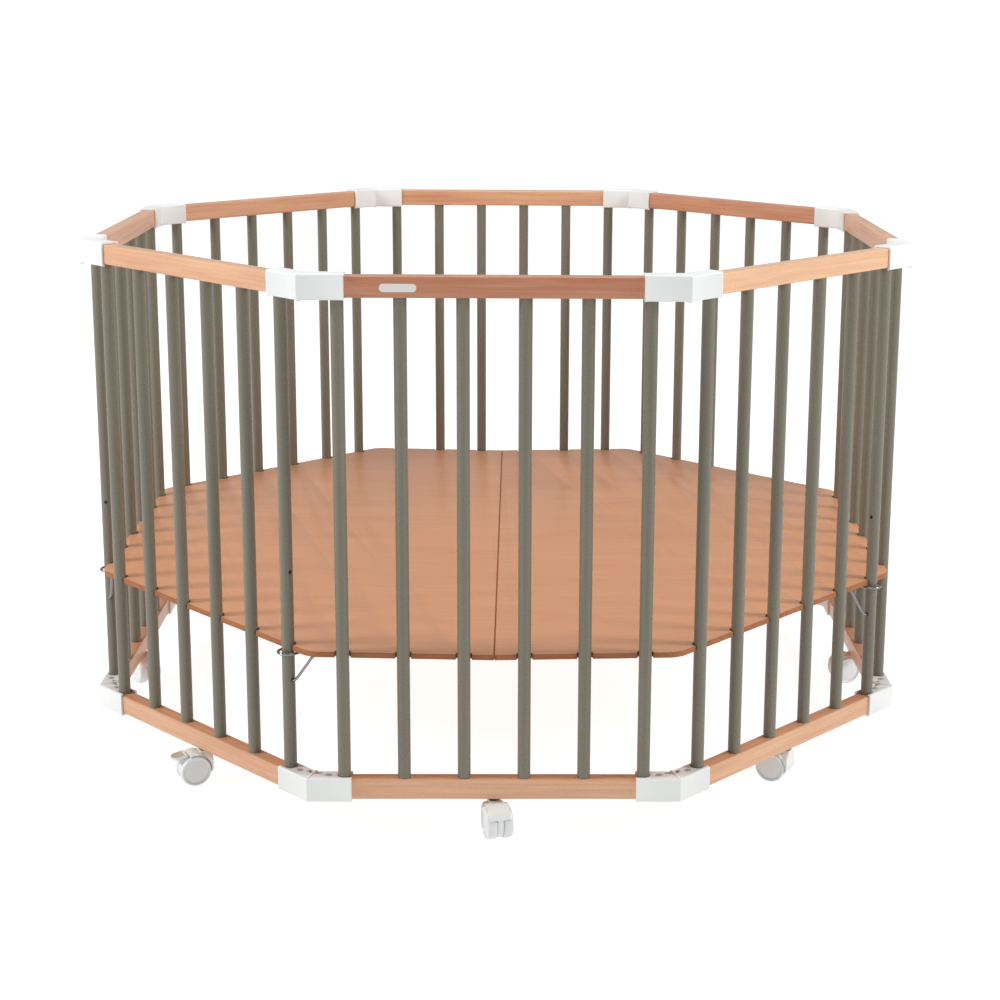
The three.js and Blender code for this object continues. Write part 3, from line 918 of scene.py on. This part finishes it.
class PLAYPEN_OT_corners(bpy.types.Operator):
    """Add the sixteen moulded corner shells that hold the rails' ends"""

    bl_idname = "playpen.corners"
    bl_label = "Corner shells"

    def both_arms(self, tool, web=0.0):
        """Turns a tool drawn on one arm into place, and mirrors it onto the other arm."""
        turn_into(tool, Matrix.Rotation(-HALF_TURN, 4, "Z"))
        if web:
            with editing(tool) as work:
                work.cut((-web / 2, 0, 0), (1, 0, 0), clear_outer=True, use_fill=True)
        modify(tool, "MIRROR", use_axis=(True, False, False))
        mend(tool)
        return tool

    def outer_body(self, size):
        body = block(
            "shell",
            (ARM_END_X, -APOTHEM - SHELL_OUT, -SHELL_TOP),
            (275 * MM, -APOTHEM + SHELL_OUT, SHELL_TOP),
        )
        with editing(body, "EDGE") as work:
            work.pick(lambda e: runs_along(e, 0))
            work.round_off(size.corner_round, 5)
        for inset in (2.2 * MM, 2.6 * MM):
            with editing(body) as work:
                work.cut((ARM_END_X + inset, 0, 0), (1, 0, 0))
        grow = 1 + size.corner_lip / SHELL_TOP
        with editing(body, "VERT") as work:
            work.pick(lambda v: v.co.x < ARM_END_X + 2.3 * MM)
            bpy.ops.transform.resize(
                value=(1, grow, grow), center_override=(ARM_END_X, -APOTHEM, 0)
            )
        turn_into(body, Matrix.Rotation(-HALF_TURN, 4, "Z"))
        with editing(body) as work:
            work.cut((0, 0, 0), (1, 0, 0), clear_outer=True)
        modify(
            body,
            "MIRROR",
            use_axis=(True, False, False),
            use_mirror_merge=True,
            merge_threshold=0.02 * MM,
        )
        mend(body)
        with editing(body, "EDGE") as work:
            work.pick(lambda e: all(abs(v.co.x) < 0.01 * MM for v in e.verts))
            work.round_off(1.6 * MM, 3)
        mend(body)
        return body

    def execute(self, context):
        size = context.scene.playpen_sizes
        shell = self.outer_body(size)
        end = ARM_END_X - 10 * MM
        cavity = block(
            "cavity",
            (end, -APOTHEM - SHELL_HOLLOW, -SHELL_ROOF),
            (275 * MM, -APOTHEM + SHELL_HOLLOW, SHELL_ROOF),
        )
        carve(shell, self.both_arms(cavity, SHELL_WEB))
        low, high = SHELL_ROOF - 2 * MM, SHELL_TOP + 5 * MM
        notch = upright("notch", 10 * MM, low, high, 48, END_BAR_X, -APOTHEM)
        carve(shell, self.both_arms(notch))
        mouth = block(
            "mouth",
            (end, -APOTHEM - 9.99 * MM, low + 0.01 * MM),
            (END_BAR_X, -APOTHEM + 9.99 * MM, high - 0.01 * MM),
        )
        carve(shell, self.both_arms(mouth))
        well = upright("well", 5.2 * MM, low, high, 32, SCREW_X, -APOTHEM)
        carve(shell, self.both_arms(well))

        def mitre(n):
            return (APOTHEM + n) * math.tan(HALF_TURN) - SHELL_WEB / 2 / math.cos(HALF_TURN)

        inner, outer = -SHELL_HOLLOW + 1 * MM, -3.5 * MM
        window = prism(
            "window",
            [
                (238 * MM, -APOTHEM - inner, low),
                (238 * MM, -APOTHEM - outer, low),
                (mitre(outer) - 0.4 * MM, -APOTHEM - outer, low),
                (mitre(inner) - 0.4 * MM, -APOTHEM - inner, low),
            ],
            (0, 0, high - low),
        )
        carve(shell, self.both_arms(window))
        ease(shell, 0.3 * MM, 2, 40)
        rib = block(
            "rib",
            (-1.6 * MM, -(APOTHEM + SHELL_OUT) / math.cos(HALF_TURN) + 1.5 * MM, 14 * MM),
            (
                1.6 * MM,
                -(APOTHEM - SHELL_OUT) / math.cos(HALF_TURN) - 0.5 * MM,
                SHELL_TOP + 1.5 * MM,
            ),
        )
        ease(rib, 0.7 * MM, 3, 40)
        carve(shell, rib, "UNION")
        smooth(shell, 36)
        for index, name in enumerate(PANELS):
            nxt = PANELS[(index + 1) % len(PANELS)]
            corner = Matrix.Rotation((index + 0.5) * TURN, 4, "Z")
            for level, heights in (("bottom", LOW_RAIL), ("top", HIGH_RAIL)):
                lift = shift(0, 0, sum(heights) / 2)
                flip = Matrix.Rotation(math.pi if level == "top" else 0, 4, "Y")
                place_copy(
                    shell,
                    f"corner_{level}_{name}_to_{nxt}",
                    corner @ lift @ flip,
                    "frame",
                    "corner_plastic",
                    f"{level}_connector_{name}_to_{nxt}",
                )
        drop(shell)
        return {"FINISHED"}


class PLAYPEN_OT_screws(bpy.types.Operator):
    """Add the cross-head screws in the corner shells' wells"""

    bl_idname = "playpen.screws"
    bl_label = "Corner screws"

    def execute(self, context):
        head = upright("screw", 4.9 * MM, -0.3 * MM, 2.9 * MM, 28)
        with editing(head, "EDGE") as work:
            work.pick(lambda e: all(v.co.z > 2 * MM for v in e.verts))
            work.round_off(1.3 * MM, 4)
        for across, along in ((2.2 * MM, 0.45 * MM), (0.45 * MM, 2.2 * MM)):
            slot = block("slot", (-across, -along, 1.6 * MM), (across, along, 4 * MM))
            carve(head, slot)
        smooth(head)
        for index, name in enumerate(PANELS):
            for level, height, flip in (
                ("bottom", LOW_RAIL[1], 0),
                ("top", HIGH_RAIL[0], math.pi),
            ):
                for end, side in (("a", -1), ("b", 1)):
                    spot = shift(side * SCREW_X, -APOTHEM, height)
                    twist = Matrix.Rotation(0.9 * index + 0.5 * side, 4, "Z")
                    over = Matrix.Rotation(flip, 4, "X")
                    place_copy(
                        head,
                        f"screw_{level}_{name}_{end}",
                        panel_turn(index) @ spot @ over @ twist,
                        "frame",
                        "screw_plating",
                    )
        drop(head)
        return {"FINISHED"}


class PLAYPEN_OT_floor(bpy.types.Operator):
    """Add the two halves of the floor, notched round the bars and sloping to the seam"""

    bl_idname = "playpen.floor"
    bl_label = "Floor boards"

    def execute(self, context):
        size = context.scene.playpen_sizes
        deselect()
        bpy.ops.mesh.primitive_circle_add(
            vertices=8,
            radius=FLOOR_APOTHEM / math.cos(HALF_TURN),
            fill_type="NGON",
            rotation=(0, 0, HALF_TURN),
        )
        board = settle("board")
        with editing(board, "VERT") as work:
            work.all()
            bpy.ops.mesh.bevel(
                offset=size.floor_corner * math.tan(HALF_TURN),
                segments=10,
                affect="VERTICES",
            )
        with editing(board) as work:
            work.cut((SEAM_GAP / 2, 0, 0), (1, 0, 0), clear_inner=True)
            work.all()
            push((0, 0, -FLOOR_THICK))
        mend(board)
        tools = []
        for index in range(5):
            for number in range(BAR_COUNT):
                across = number * BAR_PITCH - END_BAR_X
                spot = panel_turn(index) @ Vector((across, -APOTHEM, 0))
                if spot.x > 0:
                    low = (spot.x, spot.y, -20 * MM)
                    high = (spot.x, spot.y, 20 * MM)
                    tools.append(rod("tool", size.notch_radius, low, high, 40))
        deselect()
        for tool in tools:
            tool.select_set(True)
        bpy.context.view_layer.objects.active = tools[0]
        bpy.ops.object.join()
        carve(board, tools[0])
        with editing(board, "EDGE") as work:
            work.pick(lambda e: all(v.co.x < 0.5 * MM and v.co.z > -1 * MM for v in e.verts))
            work.round_off(1.3 * MM, 3)
        low, high = (-2 * MM, -700 * MM, -5.2 * MM), (3.2 * MM, 700 * MM, -3.1 * MM)
        carve(board, block("groove", low, high))
        ease(board, 0.7 * MM, 2, 60)
        smooth(board)
        board.data.materials.append(finish("floor_veneer"))
        board.data.materials.append(finish("floor_cut_edge"))
        # Every face but the top takes the darker edge finish, so the seam's chamfer carries
        # painted shade of the seam as well as the cut wood's colour.
        for face in board.data.polygons:
            face.material_index = 0 if abs(face.normal.z) > 0.97 else 1
        grain_from(board, (0, 0, 0))
        tilt = shift(0, 0, FLOOR_SEAM_Z) @ Matrix.Rotation(-FLOOR_TILT, 4, "Y")
        for number, name in enumerate(("right", "left")):
            piece = copied(board, f"floor_board_{name}", panel_turn(4 * number) @ tilt)
            regrain(piece, 3 + 4 * number)
            belong(piece, "floor", f"floor_half_{name}")
        drop(board)
        # A dark strip under the seam is painted shade: it keeps the white ground from showing
        # through the gap and shows as a dark line at the front edge.
        end = FLOOR_APOTHEM - 1 * MM
        shade_tongue = block("seam_tongue", (-3 * MM, -end, -5 * MM), (3 * MM, end, -3.3 * MM))
        ease(shade_tongue, 0.3 * MM, 2, 40)
        grain_from(shade_tongue, (0, 0, 0))
        turn_into(shade_tongue, shift(0, 0, FLOOR_SEAM_Z))
        finish_piece(shade_tongue, "floor", "floor_cut_edge")
        return {"FINISHED"}


class PLAYPEN_OT_seam_plates(bpy.types.Operator):
    """Add the two screwed zinc plates that hold the floor's halves together"""

    bl_idname = "playpen.seam_plates"
    bl_label = "Seam plates"

    def execute(self, context):
        low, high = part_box("floor_seam_plate_front")
        plate = block("plate", low, high)
        with editing(plate, "EDGE") as work:
            work.pick(lambda e: runs_along(e, 2))
            work.round_off(6 * MM, 6)
        centre = (low + high) / 2
        head = upright("head", 3.6 * MM, 0.2 * MM, -1.8 * MM, 20)
        with editing(head, "EDGE") as work:
            work.pick(lambda e: all(v.co.z < -1.7 * MM for v in e.verts))
            work.round_off(1 * MM, 3)
        for across, along in ((2.2 * MM, 0.5 * MM), (0.5 * MM, 2.2 * MM)):
            slot = block("slot", (-across, -along, -4 * MM), (across, along, -0.9 * MM))
            carve(head, slot)
        smooth(head)
        ease(plate, 0.3 * MM, 2, 40)
        smooth(plate)
        for number, name in enumerate(("front", "back")):
            around = panel_turn(4 * number)
            node = f"floor_seam_plate_{name}"
            place_copy(plate, f"seam_plate_{name}", around, "floor", "zinc_sheet", node)
            corners = [(x, y) for x in (-20, 20) for y in (-34, 34)]
            for index, (x, y) in enumerate(corners):
                spot = around @ shift(centre.x + x * MM, centre.y + y * MM, low.z)
                place_copy(head, f"seam_screw_{name}_{index + 1}", spot, "floor", "zinc_sheet")
        drop(plate, head)
        return {"FINISHED"}


class PLAYPEN_OT_wires(bpy.types.Operator):
    """Add the wire loops round the bars, the hinged props and the clips that hold them"""

    bl_idname = "playpen.wires"
    bl_label = "Floor loops and props"

    def clip(self, name, humps, width, steps=8):
        """A bent strap over one or two wires, its flanges flat against the board."""
        radius = 2.5 * MM
        flange = 6 * MM
        run = [(humps[0] - radius - flange, 0)]
        for middle in humps:
            for i in range(steps + 1):
                angle = math.pi - math.pi * i / steps
                run.append((middle + radius * math.cos(angle), -radius * math.sin(angle)))
        run.append((humps[-1] + radius + flange, 0))
        deselect()
        bpy.ops.mesh.primitive_plane_add(size=1)
        strap = settle(name)
        first, second = run[0], run[1]
        for corner, (along, across) in zip(
            strap.data.vertices, ((0, -1), (1, -1), (0, 1), (1, 1)), strict=True
        ):
            x, z = (first, second)[along]
            corner.co = (x, across * width / 2, z)
        with editing(strap, "EDGE") as work:
            for start, end in zip(run[1:], run[2:]):
                work.pick(
                    lambda e, s=start: all(
                        abs(v.co.x - s[0]) < 0.01 * MM and abs(v.co.z - s[1]) < 0.01 * MM
                        for v in e.verts
                    )
                )
                push((end[0] - start[0], 0, end[1] - start[1]))
        mend(strap)
        modify(strap, "SOLIDIFY", thickness=0.8 * MM, offset=0)
        mend(strap)
        ease(strap, 0.2 * MM, 1, 50)
        smooth(strap)
        return strap

    def loop(self, size):
        deselect()
        bpy.ops.mesh.primitive_circle_add(
            vertices=16,
            radius=size.wire_radius,
            fill_type="NGON",
            location=(-14 * MM, 48 * MM, 0),
            rotation=(math.pi / 2, 0, 0),
        )
        bent = settle("loop")
        with editing(bent) as work:
            work.all()
            push((0, -48 * MM, 0))
            bpy.ops.mesh.spin(steps=20, angle=math.pi, center=(0, 0, 0), axis=(0, 0, -1))
            push((0, 48 * MM, 0))
        mend(bent)
        ease(bent, 0.4 * MM, 1, 60)
        smooth(bent)
        return bent

    def execute(self, context):
        size = context.scene.playpen_sizes
        loop = self.loop(size)
        wide = self.clip("wide_clip", (-14 * MM, 14 * MM), 9 * MM)
        narrow = self.clip("narrow_clip", (0,), 9 * MM)
        for name in SUPPORTED:
            index = PANELS.index(name)
            pivot = Vector(JOINTS["prop_hinge_" + name]["pos_m"])
            local = panel_turn(-index) @ pivot
            side = 1 if local.x > END_BAR_X else -1
            around = panel_turn(index)
            bar = around @ shift(END_BAR_X, -APOTHEM, pivot.z)
            node = f"floor_loop_{name}"
            place_copy(loop, f"wire_loop_{name}", bar, "floor", "bright_wire", node)
            held = bar @ shift(0, 36 * MM, 0)
            place_copy(wide, f"loop_clip_{name}", held, "floor", "zinc_sheet")
            drop_z = pivot.z - HOLE_HEIGHTS[0]
            tip_x = -side * (abs(local.x - END_BAR_X) - 5 * MM)
            inset = local.y + APOTHEM
            knots = rounded_run(
                [
                    (0, 30 * MM, 0),
                    (0, 0, 0),
                    (-side * 21 * MM, -inset + 4 * MM, -drop_z + 9 * MM),
                    (-side * 27 * MM, -inset, -drop_z),
                    (tip_x, -inset, -drop_z),
                ],
                3.5 * MM,
            )
            prop = wire(f"wire_prop_{name}", knots, size.wire_radius)
            turn_into(prop, around @ Matrix.Translation(local))
            smooth(prop, 50)
            finish_piece(prop, "prop_" + name, "bright_wire", f"floor_prop_{name}")
            held = around @ Matrix.Translation(local) @ shift(0, 17 * MM, 0)
            place_copy(narrow, f"prop_clip_{name}", held, "floor", "zinc_sheet")
        drop(loop, wide, narrow)
        return {"FINISHED"}


def arc(radius, start, end, steps, y=0.0):
    """Points round the wheels' axle, seen from the side of the caster."""
    points = []
    for i in range(steps + 1):
        angle = math.radians(start + (end - start) * i / steps)
        points.append((AXLE_X + radius * math.cos(angle), y, AXLE_Z + radius * math.sin(angle)))
    return points


def caster_place(name):
    """The swivel's matrix: its axis on Z, and the wheels trailing towards +X."""
    swivel = Vector(JOINTS["swivel_" + name]["pos_m"])
    axle = Vector(JOINTS["axle_" + name]["pos_m"])
    heading = math.atan2(axle.y - swivel.y, axle.x - swivel.x)
    return shift(swivel.x, swivel.y, 0) @ Matrix.Rotation(heading, 4, "Z")


class PLAYPEN_OT_hoods(bpy.types.Operator):
    """Add the casters' moulded hoods with their swivel stems and collars"""

    bl_idname = "playpen.hoods"
    bl_label = "Caster hoods"

    def hood(self, start):
        centre = (AXLE_X, 0, AXLE_Z)
        half = HOOD_WIDTH / 2
        shape = [
            (24.0, -half), (24.4, -half), (25.0, -half + 0.7 * MM), (25.5, -half + 2 * MM),
            (25.9, -half + 4 * MM), (26.0, -half + 6 * MM), (26.0, half - 6 * MM),
            (25.9, half - 4 * MM), (25.5, half - 2 * MM), (25.0, half - 0.7 * MM),
            (24.4, half), (24.0, half),
        ]
        angle = math.radians(start)
        section = [
            (
                AXLE_X + r * MM * math.cos(angle),
                y,
                AXLE_Z + r * MM * math.sin(angle),
            )
            for r, y in shape
        ]
        span = math.radians(HOOD_END - start)
        hood = revolve("hood", section, centre, (0, 1, 0), span, 36)
        width = 8.5 * MM
        boss_line = [(x * MM, -width, z * MM) for x, z in ((9, 49), (-8.5, 49), (-8.5, 28))]
        boss_line += arc(24.8 * MM, 168, 112, 8, -width)
        boss = prism("boss", boss_line, (0, 2 * width, 0))
        ease(boss, 1.6 * MM, 4, 50)
        carve(hood, boss, "UNION")
        back = ((-3, 46.4), (-8.5, 43), (-8.5, 23), (-6.2, 18.5))
        wall_line = [(x * MM, -half, z * MM) for x, z in back]
        wall_line += arc(24.4 * MM, 182, 112, 10, -half)
        wall = prism("wall", wall_line, (0, 2 * half, 0))
        shoulders = [(-20 * MM, -half, 10 * MM), (-20 * MM, half, 10 * MM)]
        for side in (1, -1):
            for i in range(9):
                angle = math.pi / 16 * (i if side > 0 else 8 - i)
                across = side * (half - 11 * MM + 11 * MM * math.cos(angle))
                shoulders.append((-20 * MM, across, 35.4 * MM + 11 * MM * math.sin(angle)))
        carve(wall, prism("shoulders", shoulders, (40 * MM, 0, 0)), "INTERSECT")
        ease(wall, 0.8 * MM, 3, 50)
        carve(hood, wall, "UNION")
        wide = 4.4 * MM
        web_line = [(-6 * MM, -wide, 18 * MM), (-6 * MM, -wide, 44 * MM)]
        web_line += arc(24.6 * MM, 112, start, 10, -wide)
        web_line += arc(21.5 * MM, start - 8, -52, 12, -wide)
        web_line += arc(7 * MM, -60, -180, 8, -wide)
        web = prism("web", web_line, (0, 2 * wide, 0))
        bore = rod(
            "bore", 3.7 * MM, (AXLE_X, -30 * MM, AXLE_Z), (AXLE_X, 30 * MM, AXLE_Z), 32
        )
        carve(web, bore)
        ease(web, 0.5 * MM, 2, 50)
        carve(hood, web, "UNION")
        smooth(hood, 38)
        return hood

    def execute(self, context):
        braked = self.hood(BRAKED_HOOD_START)
        plain = self.hood(PLAIN_HOOD_START)
        # The collar fills the gap under the rail, and its near-black finish paints the shade of
        # that gap.
        collar = upright("collar", 7 * MM, 48.6 * MM, 52.8 * MM, 40)
        with editing(collar) as work:
            work.pick(lambda f: f.normal.z > 0.9)
            work.step(0.5 * MM)
            work.step(1 * MM, -0.4 * MM)
        ease(collar, 0.5 * MM, 2, 50)
        smooth(collar)
        stem = upright("stem", 5 * MM, 47 * MM, 71 * MM, 32)
        with editing(stem) as work:
            work.pick(lambda f: f.normal.z > 0.9)
            work.step(1.2 * MM, 1.2 * MM)
        ring = upright("ring", 6 * MM, 63 * MM, 65 * MM, 32)
        groove = upright("groove", 4.2 * MM, 60 * MM, 70 * MM, 32)
        carve(ring, groove)
        carve(stem, ring)
        smooth(stem)
        for name in PANELS:
            place = caster_place(name)
            source = braked if name in BRAKED else plain
            body = "caster_" + name
            node = f"caster_hood_{name}"
            place_copy(source, f"hood_{name}", place, body, "caster_plastic", node)
            place_copy(collar, f"swivel_collar_{name}", place, body, "collar_plastic")
            place_copy(stem, f"swivel_stem_{name}", place, body, "zinc_sheet")
        drop(braked, plain, collar, stem)
        return {"FINISHED"}


class PLAYPEN_OT_wheels(bpy.types.Operator):
    """Add each caster's two dished wheels and their axle"""

    bl_idname = "playpen.wheels"
    bl_label = "Caster wheels"

    def execute(self, context):
        size = context.scene.playpen_sizes
        full = size.wheel_radius
        profile = [
            (0, 17.3), (6, 17.25), (12, 17.0), (16.4, 16.6), (17.6, 16.3), (18.2, 16.5),
            (18.9, 17.7), (19.6, 18.3), (20.4, 18.5), (21.4, 18.2), (22.3, 17.2),
            (22.8, 15.9), (23, 14.4), (23, 7.6), (22.8, 6.3), (22.2, 5.4), (21.2, 4.9),
            (19.6, 4.9), (19.2, 7.5), (7.2, 7.5), (6.8, 4.9), (3.3, 4.9), (3.3, 9), (0, 9),
        ]
        section = [(AXLE_X + r / 23 * full, y * MM, AXLE_Z) for r, y in profile]
        wheel = revolve(
            "wheel", section, (AXLE_X, 0, AXLE_Z), (0, 1, 0), 2 * math.pi, 64
        )
        with editing(wheel, "EDGE") as work:
            work.all()
            bpy.ops.mesh.dissolve_degenerate(threshold=0.01 * MM)
        mend(wheel)
        smooth(wheel, 40)
        axle = rod(
            "axle", 3.1 * MM, (AXLE_X, -8.8 * MM, AXLE_Z), (AXLE_X, 8.8 * MM, AXLE_Z), 32
        )
        ease(axle, 0.5 * MM, 2, 50)
        smooth(axle)
        other = Matrix.Rotation(math.pi, 4, "Z")
        across = shift(2 * AXLE_X, 0, 0)
        for name in PANELS:
            place = caster_place(name)
            body = "wheels_" + name
            for side, extra in (("left", across @ other), ("right", Matrix())):
                node = f"caster_wheels_{name}"
                spot = place @ extra
                place_copy(wheel, f"wheel_{name}_{side}", spot, body, "wheel_plastic", node)
            place_copy(axle, f"axle_{name}", place, body, "zinc_sheet")
        drop(wheel, axle)
        return {"FINISHED"}


class PLAYPEN_OT_levers(bpy.types.Operator):
    """Add the brake levers of the four braked casters"""

    bl_idname = "playpen.levers"
    bl_label = "Brake levers"

    def execute(self, context):
        pad = block("pad", (-1 * MM, -12 * MM, -2 * MM), (21 * MM, 12 * MM, 2 * MM))
        with editing(pad, "EDGE") as work:
            work.pick(lambda e: runs_along(e, 2) and e.verts[0].co.x > 20 * MM)
            work.round_off(10.5 * MM, 12)
        with editing(pad) as work:
            work.pick(lambda f: f.normal.z > 0.9)
            work.step(1.6 * MM)
            work.step(0.6 * MM, -0.5 * MM)
        # The recessed top takes the darker beige: partly the tread's own colour and partly
        # painted shade on the lever's top.
        faces = [f for f in pad.data.polygons if f.normal.z > 0.9]
        treads = [f.index for f in faces if f.center.z < 1.8 * MM]
        pad.data.materials.append(finish("lever_rim_plastic"))
        pad.data.materials.append(finish("lever_tread_plastic"))
        for index in treads:
            pad.data.polygons[index].material_index = 1
        ease(pad, 0.6 * MM, 3, 50)
        barrel = rod("barrel", 2.3 * MM, (0, -12 * MM, 0), (0, 12 * MM, 0), 24)
        ease(barrel, 0.5 * MM, 2, 50)
        carve(pad, barrel, "UNION")
        smooth(pad, 40)
        for name in BRAKED:
            pivot = Vector(JOINTS["brake_pedal_" + name]["pos_m"])
            around = caster_place(name)
            heading = around.to_euler().z
            place = Matrix.Translation(pivot) @ Matrix.Rotation(heading, 4, "Z")
            slope = Matrix.Rotation(LEVER_SLOPE, 4, "Y")
            piece = copied(pad, f"lever_{name}", place @ slope)
            belong(piece, "brake_" + name, f"brake_lever_{name}")
        drop(pad)
        return {"FINISHED"}


class PLAYPEN_OT_badge(bpy.types.Operator):
    """Add the small plain badge on the front rail"""

    bl_idname = "playpen.badge"
    bl_label = "Badge"

    def execute(self, context):
        face = -APOTHEM - RAIL_DEPTH / 2
        low = (-151 * MM, face - 0.7 * MM, 763.2 * MM)
        high = (-102 * MM, face + 0.2 * MM, 774.2 * MM)
        plate = block("badge", low, high)
        with editing(plate, "EDGE") as work:
            work.pick(lambda e: runs_along(e, 1))
            work.round_off(5.2 * MM, 10)
        with editing(plate) as work:
            work.pick(lambda f: f.normal.y < -0.9)
            work.step(0.8 * MM)
            work.step(0.2 * MM, -0.15 * MM)
        ease(plate, 0.15 * MM, 2, 50)
        smooth(plate)
        finish_piece(plate, "frame", "badge_plastic")
        return {"FINISHED"}


LAMPS = (
    ("left_lamp", (-2.9, -1.0, 1.9), (0, 0, 0.4), (0.75, 0.75)),
    ("right_lamp", (2.9, -1.0, 1.9), (0, 0, 0.4), (0.75, 0.75)),
    ("top_lamp", (0, 0.2, 3.4), (0, 0, 0.3), (2.6, 2.0)),
)


class PLAYPEN_OT_stage(bpy.types.Operator):
    """Set up the pale floor, the soft lamps and the camera"""

    bl_idname = "playpen.stage"
    bl_label = "Stage"

    def lamp(self, name, place, aim, width, power):
        """Adds a soft square lamp that shines from its place towards a point."""
        deselect()
        turn = (Vector(aim) - Vector(place)).to_track_quat("-Z", "Y").to_euler()
        bpy.ops.object.light_add(type="AREA", location=place, rotation=turn)
        lamp = bpy.context.object
        lamp.name = name
        lamp.data.shape = "RECTANGLE"
        lamp.data.size = width[0]
        lamp.data.size_y = width[1]
        lamp.data.energy = power
        lamp.visible_camera = False

    def execute(self, context):
        scene = context.scene
        stage = scene.playpen_stage
        deselect()
        bpy.ops.mesh.primitive_plane_add(size=400, location=(0, 0, -0.3 * MM))
        ground = settle("stage_floor")
        pale = bpy.data.materials.new("stage_pale")
        pale.use_nodes = True
        surface = pale.node_tree.nodes["Principled BSDF"]
        work = nodes_of(pale.node_tree)
        surface.inputs["Base Color"].default_value = (0.45, 0.45, 0.45, 1)
        surface.inputs["Roughness"].default_value = 0.95
        surface.inputs["Specular IOR Level"].default_value = 0.05
        surface.inputs["Emission Color"].default_value = (1, 1, 1, 1)
        seen = work.add("ShaderNodeLightPath").outputs["Is Camera Ray"]
        glow = work.span(seen, 0.0, 1.0, stage.floor_glow, stage.floor_shine)
        pale.node_tree.links.new(glow, surface.inputs["Emission Strength"])
        ground.data.materials.append(pale)
        world = bpy.data.worlds.new("surround")
        world.use_nodes = True
        back = world.node_tree.nodes["Background"]
        back.inputs["Color"].default_value = (1, 1, 1, 1)
        work = nodes_of(world.node_tree)
        seen = work.add("ShaderNodeLightPath").outputs["Is Camera Ray"]
        strength = work.span(seen, 0.0, 1.0, stage.sky, stage.sky_shine)
        world.node_tree.links.new(strength, back.inputs["Strength"])
        scene.world = world
        for name, place, aim, width in LAMPS:
            self.lamp(name, place, aim, width, getattr(stage, name))
        deselect()
        turn = (
            Matrix.Rotation(-stage.camera_yaw, 3, "Z")
            @ Matrix.Rotation(math.pi / 2 - stage.camera_pitch, 3, "X")
            @ Matrix.Rotation(stage.camera_roll, 3, "Z")
        )
        bpy.ops.object.camera_add(location=stage.camera_place, rotation=turn.to_euler())
        camera = bpy.context.object
        camera.name = "camera"
        camera.data.sensor_width = 36
        camera.data.lens = stage.lens
        camera.data.shift_x = stage.shift_x
        camera.data.shift_y = stage.shift_y
        camera.data.clip_end = 1000
        scene.camera = camera
        scene.view_settings.view_transform = "Standard"
        return {"FINISHED"}


STEPS = (
    PLAYPEN_OT_finishes,
    PLAYPEN_OT_rails,
    PLAYPEN_OT_bars,
    PLAYPEN_OT_corners,
    PLAYPEN_OT_screws,
    PLAYPEN_OT_floor,
    PLAYPEN_OT_seam_plates,
    PLAYPEN_OT_wires,
    PLAYPEN_OT_hoods,
    PLAYPEN_OT_wheels,
    PLAYPEN_OT_levers,
    PLAYPEN_OT_badge,
    PLAYPEN_OT_stage,
)


class PLAYPEN_PT_sidebar(bpy.types.Panel):
    """Lists the playpen's pieces in the order in which they are built"""

    bl_idname = "PLAYPEN_PT_sidebar"
    bl_label = "Playpen"
    bl_space_type = "VIEW_3D"
    bl_region_type = "UI"
    bl_category = "Playpen"

    def draw(self, context):
        for step in STEPS:
            self.layout.operator(step.bl_idname)


CLASSES = (
    PLAYPEN_PG_sizes,
    PLAYPEN_PG_finishes,
    PLAYPEN_PG_stage,
    *STEPS,
    PLAYPEN_PT_sidebar,
)


def register():
    for item in CLASSES:
        bpy.utils.register_class(item)
    bpy.types.Scene.playpen_sizes = PointerProperty(type=PLAYPEN_PG_sizes)
    bpy.types.Scene.playpen_finishes = PointerProperty(type=PLAYPEN_PG_finishes)
    bpy.types.Scene.playpen_stage = PointerProperty(type=PLAYPEN_PG_stage)


def unregister():
    del bpy.types.Scene.playpen_stage
    del bpy.types.Scene.playpen_finishes
    del bpy.types.Scene.playpen_sizes
    for item in reversed(CLASSES):
        bpy.utils.unregister_class(item)


def main():
    register()
    for step in STEPS:
        group, call = step.bl_idname.split(".")
        getattr(getattr(bpy.ops, group), call)()


if __name__ == "__main__":
    main()
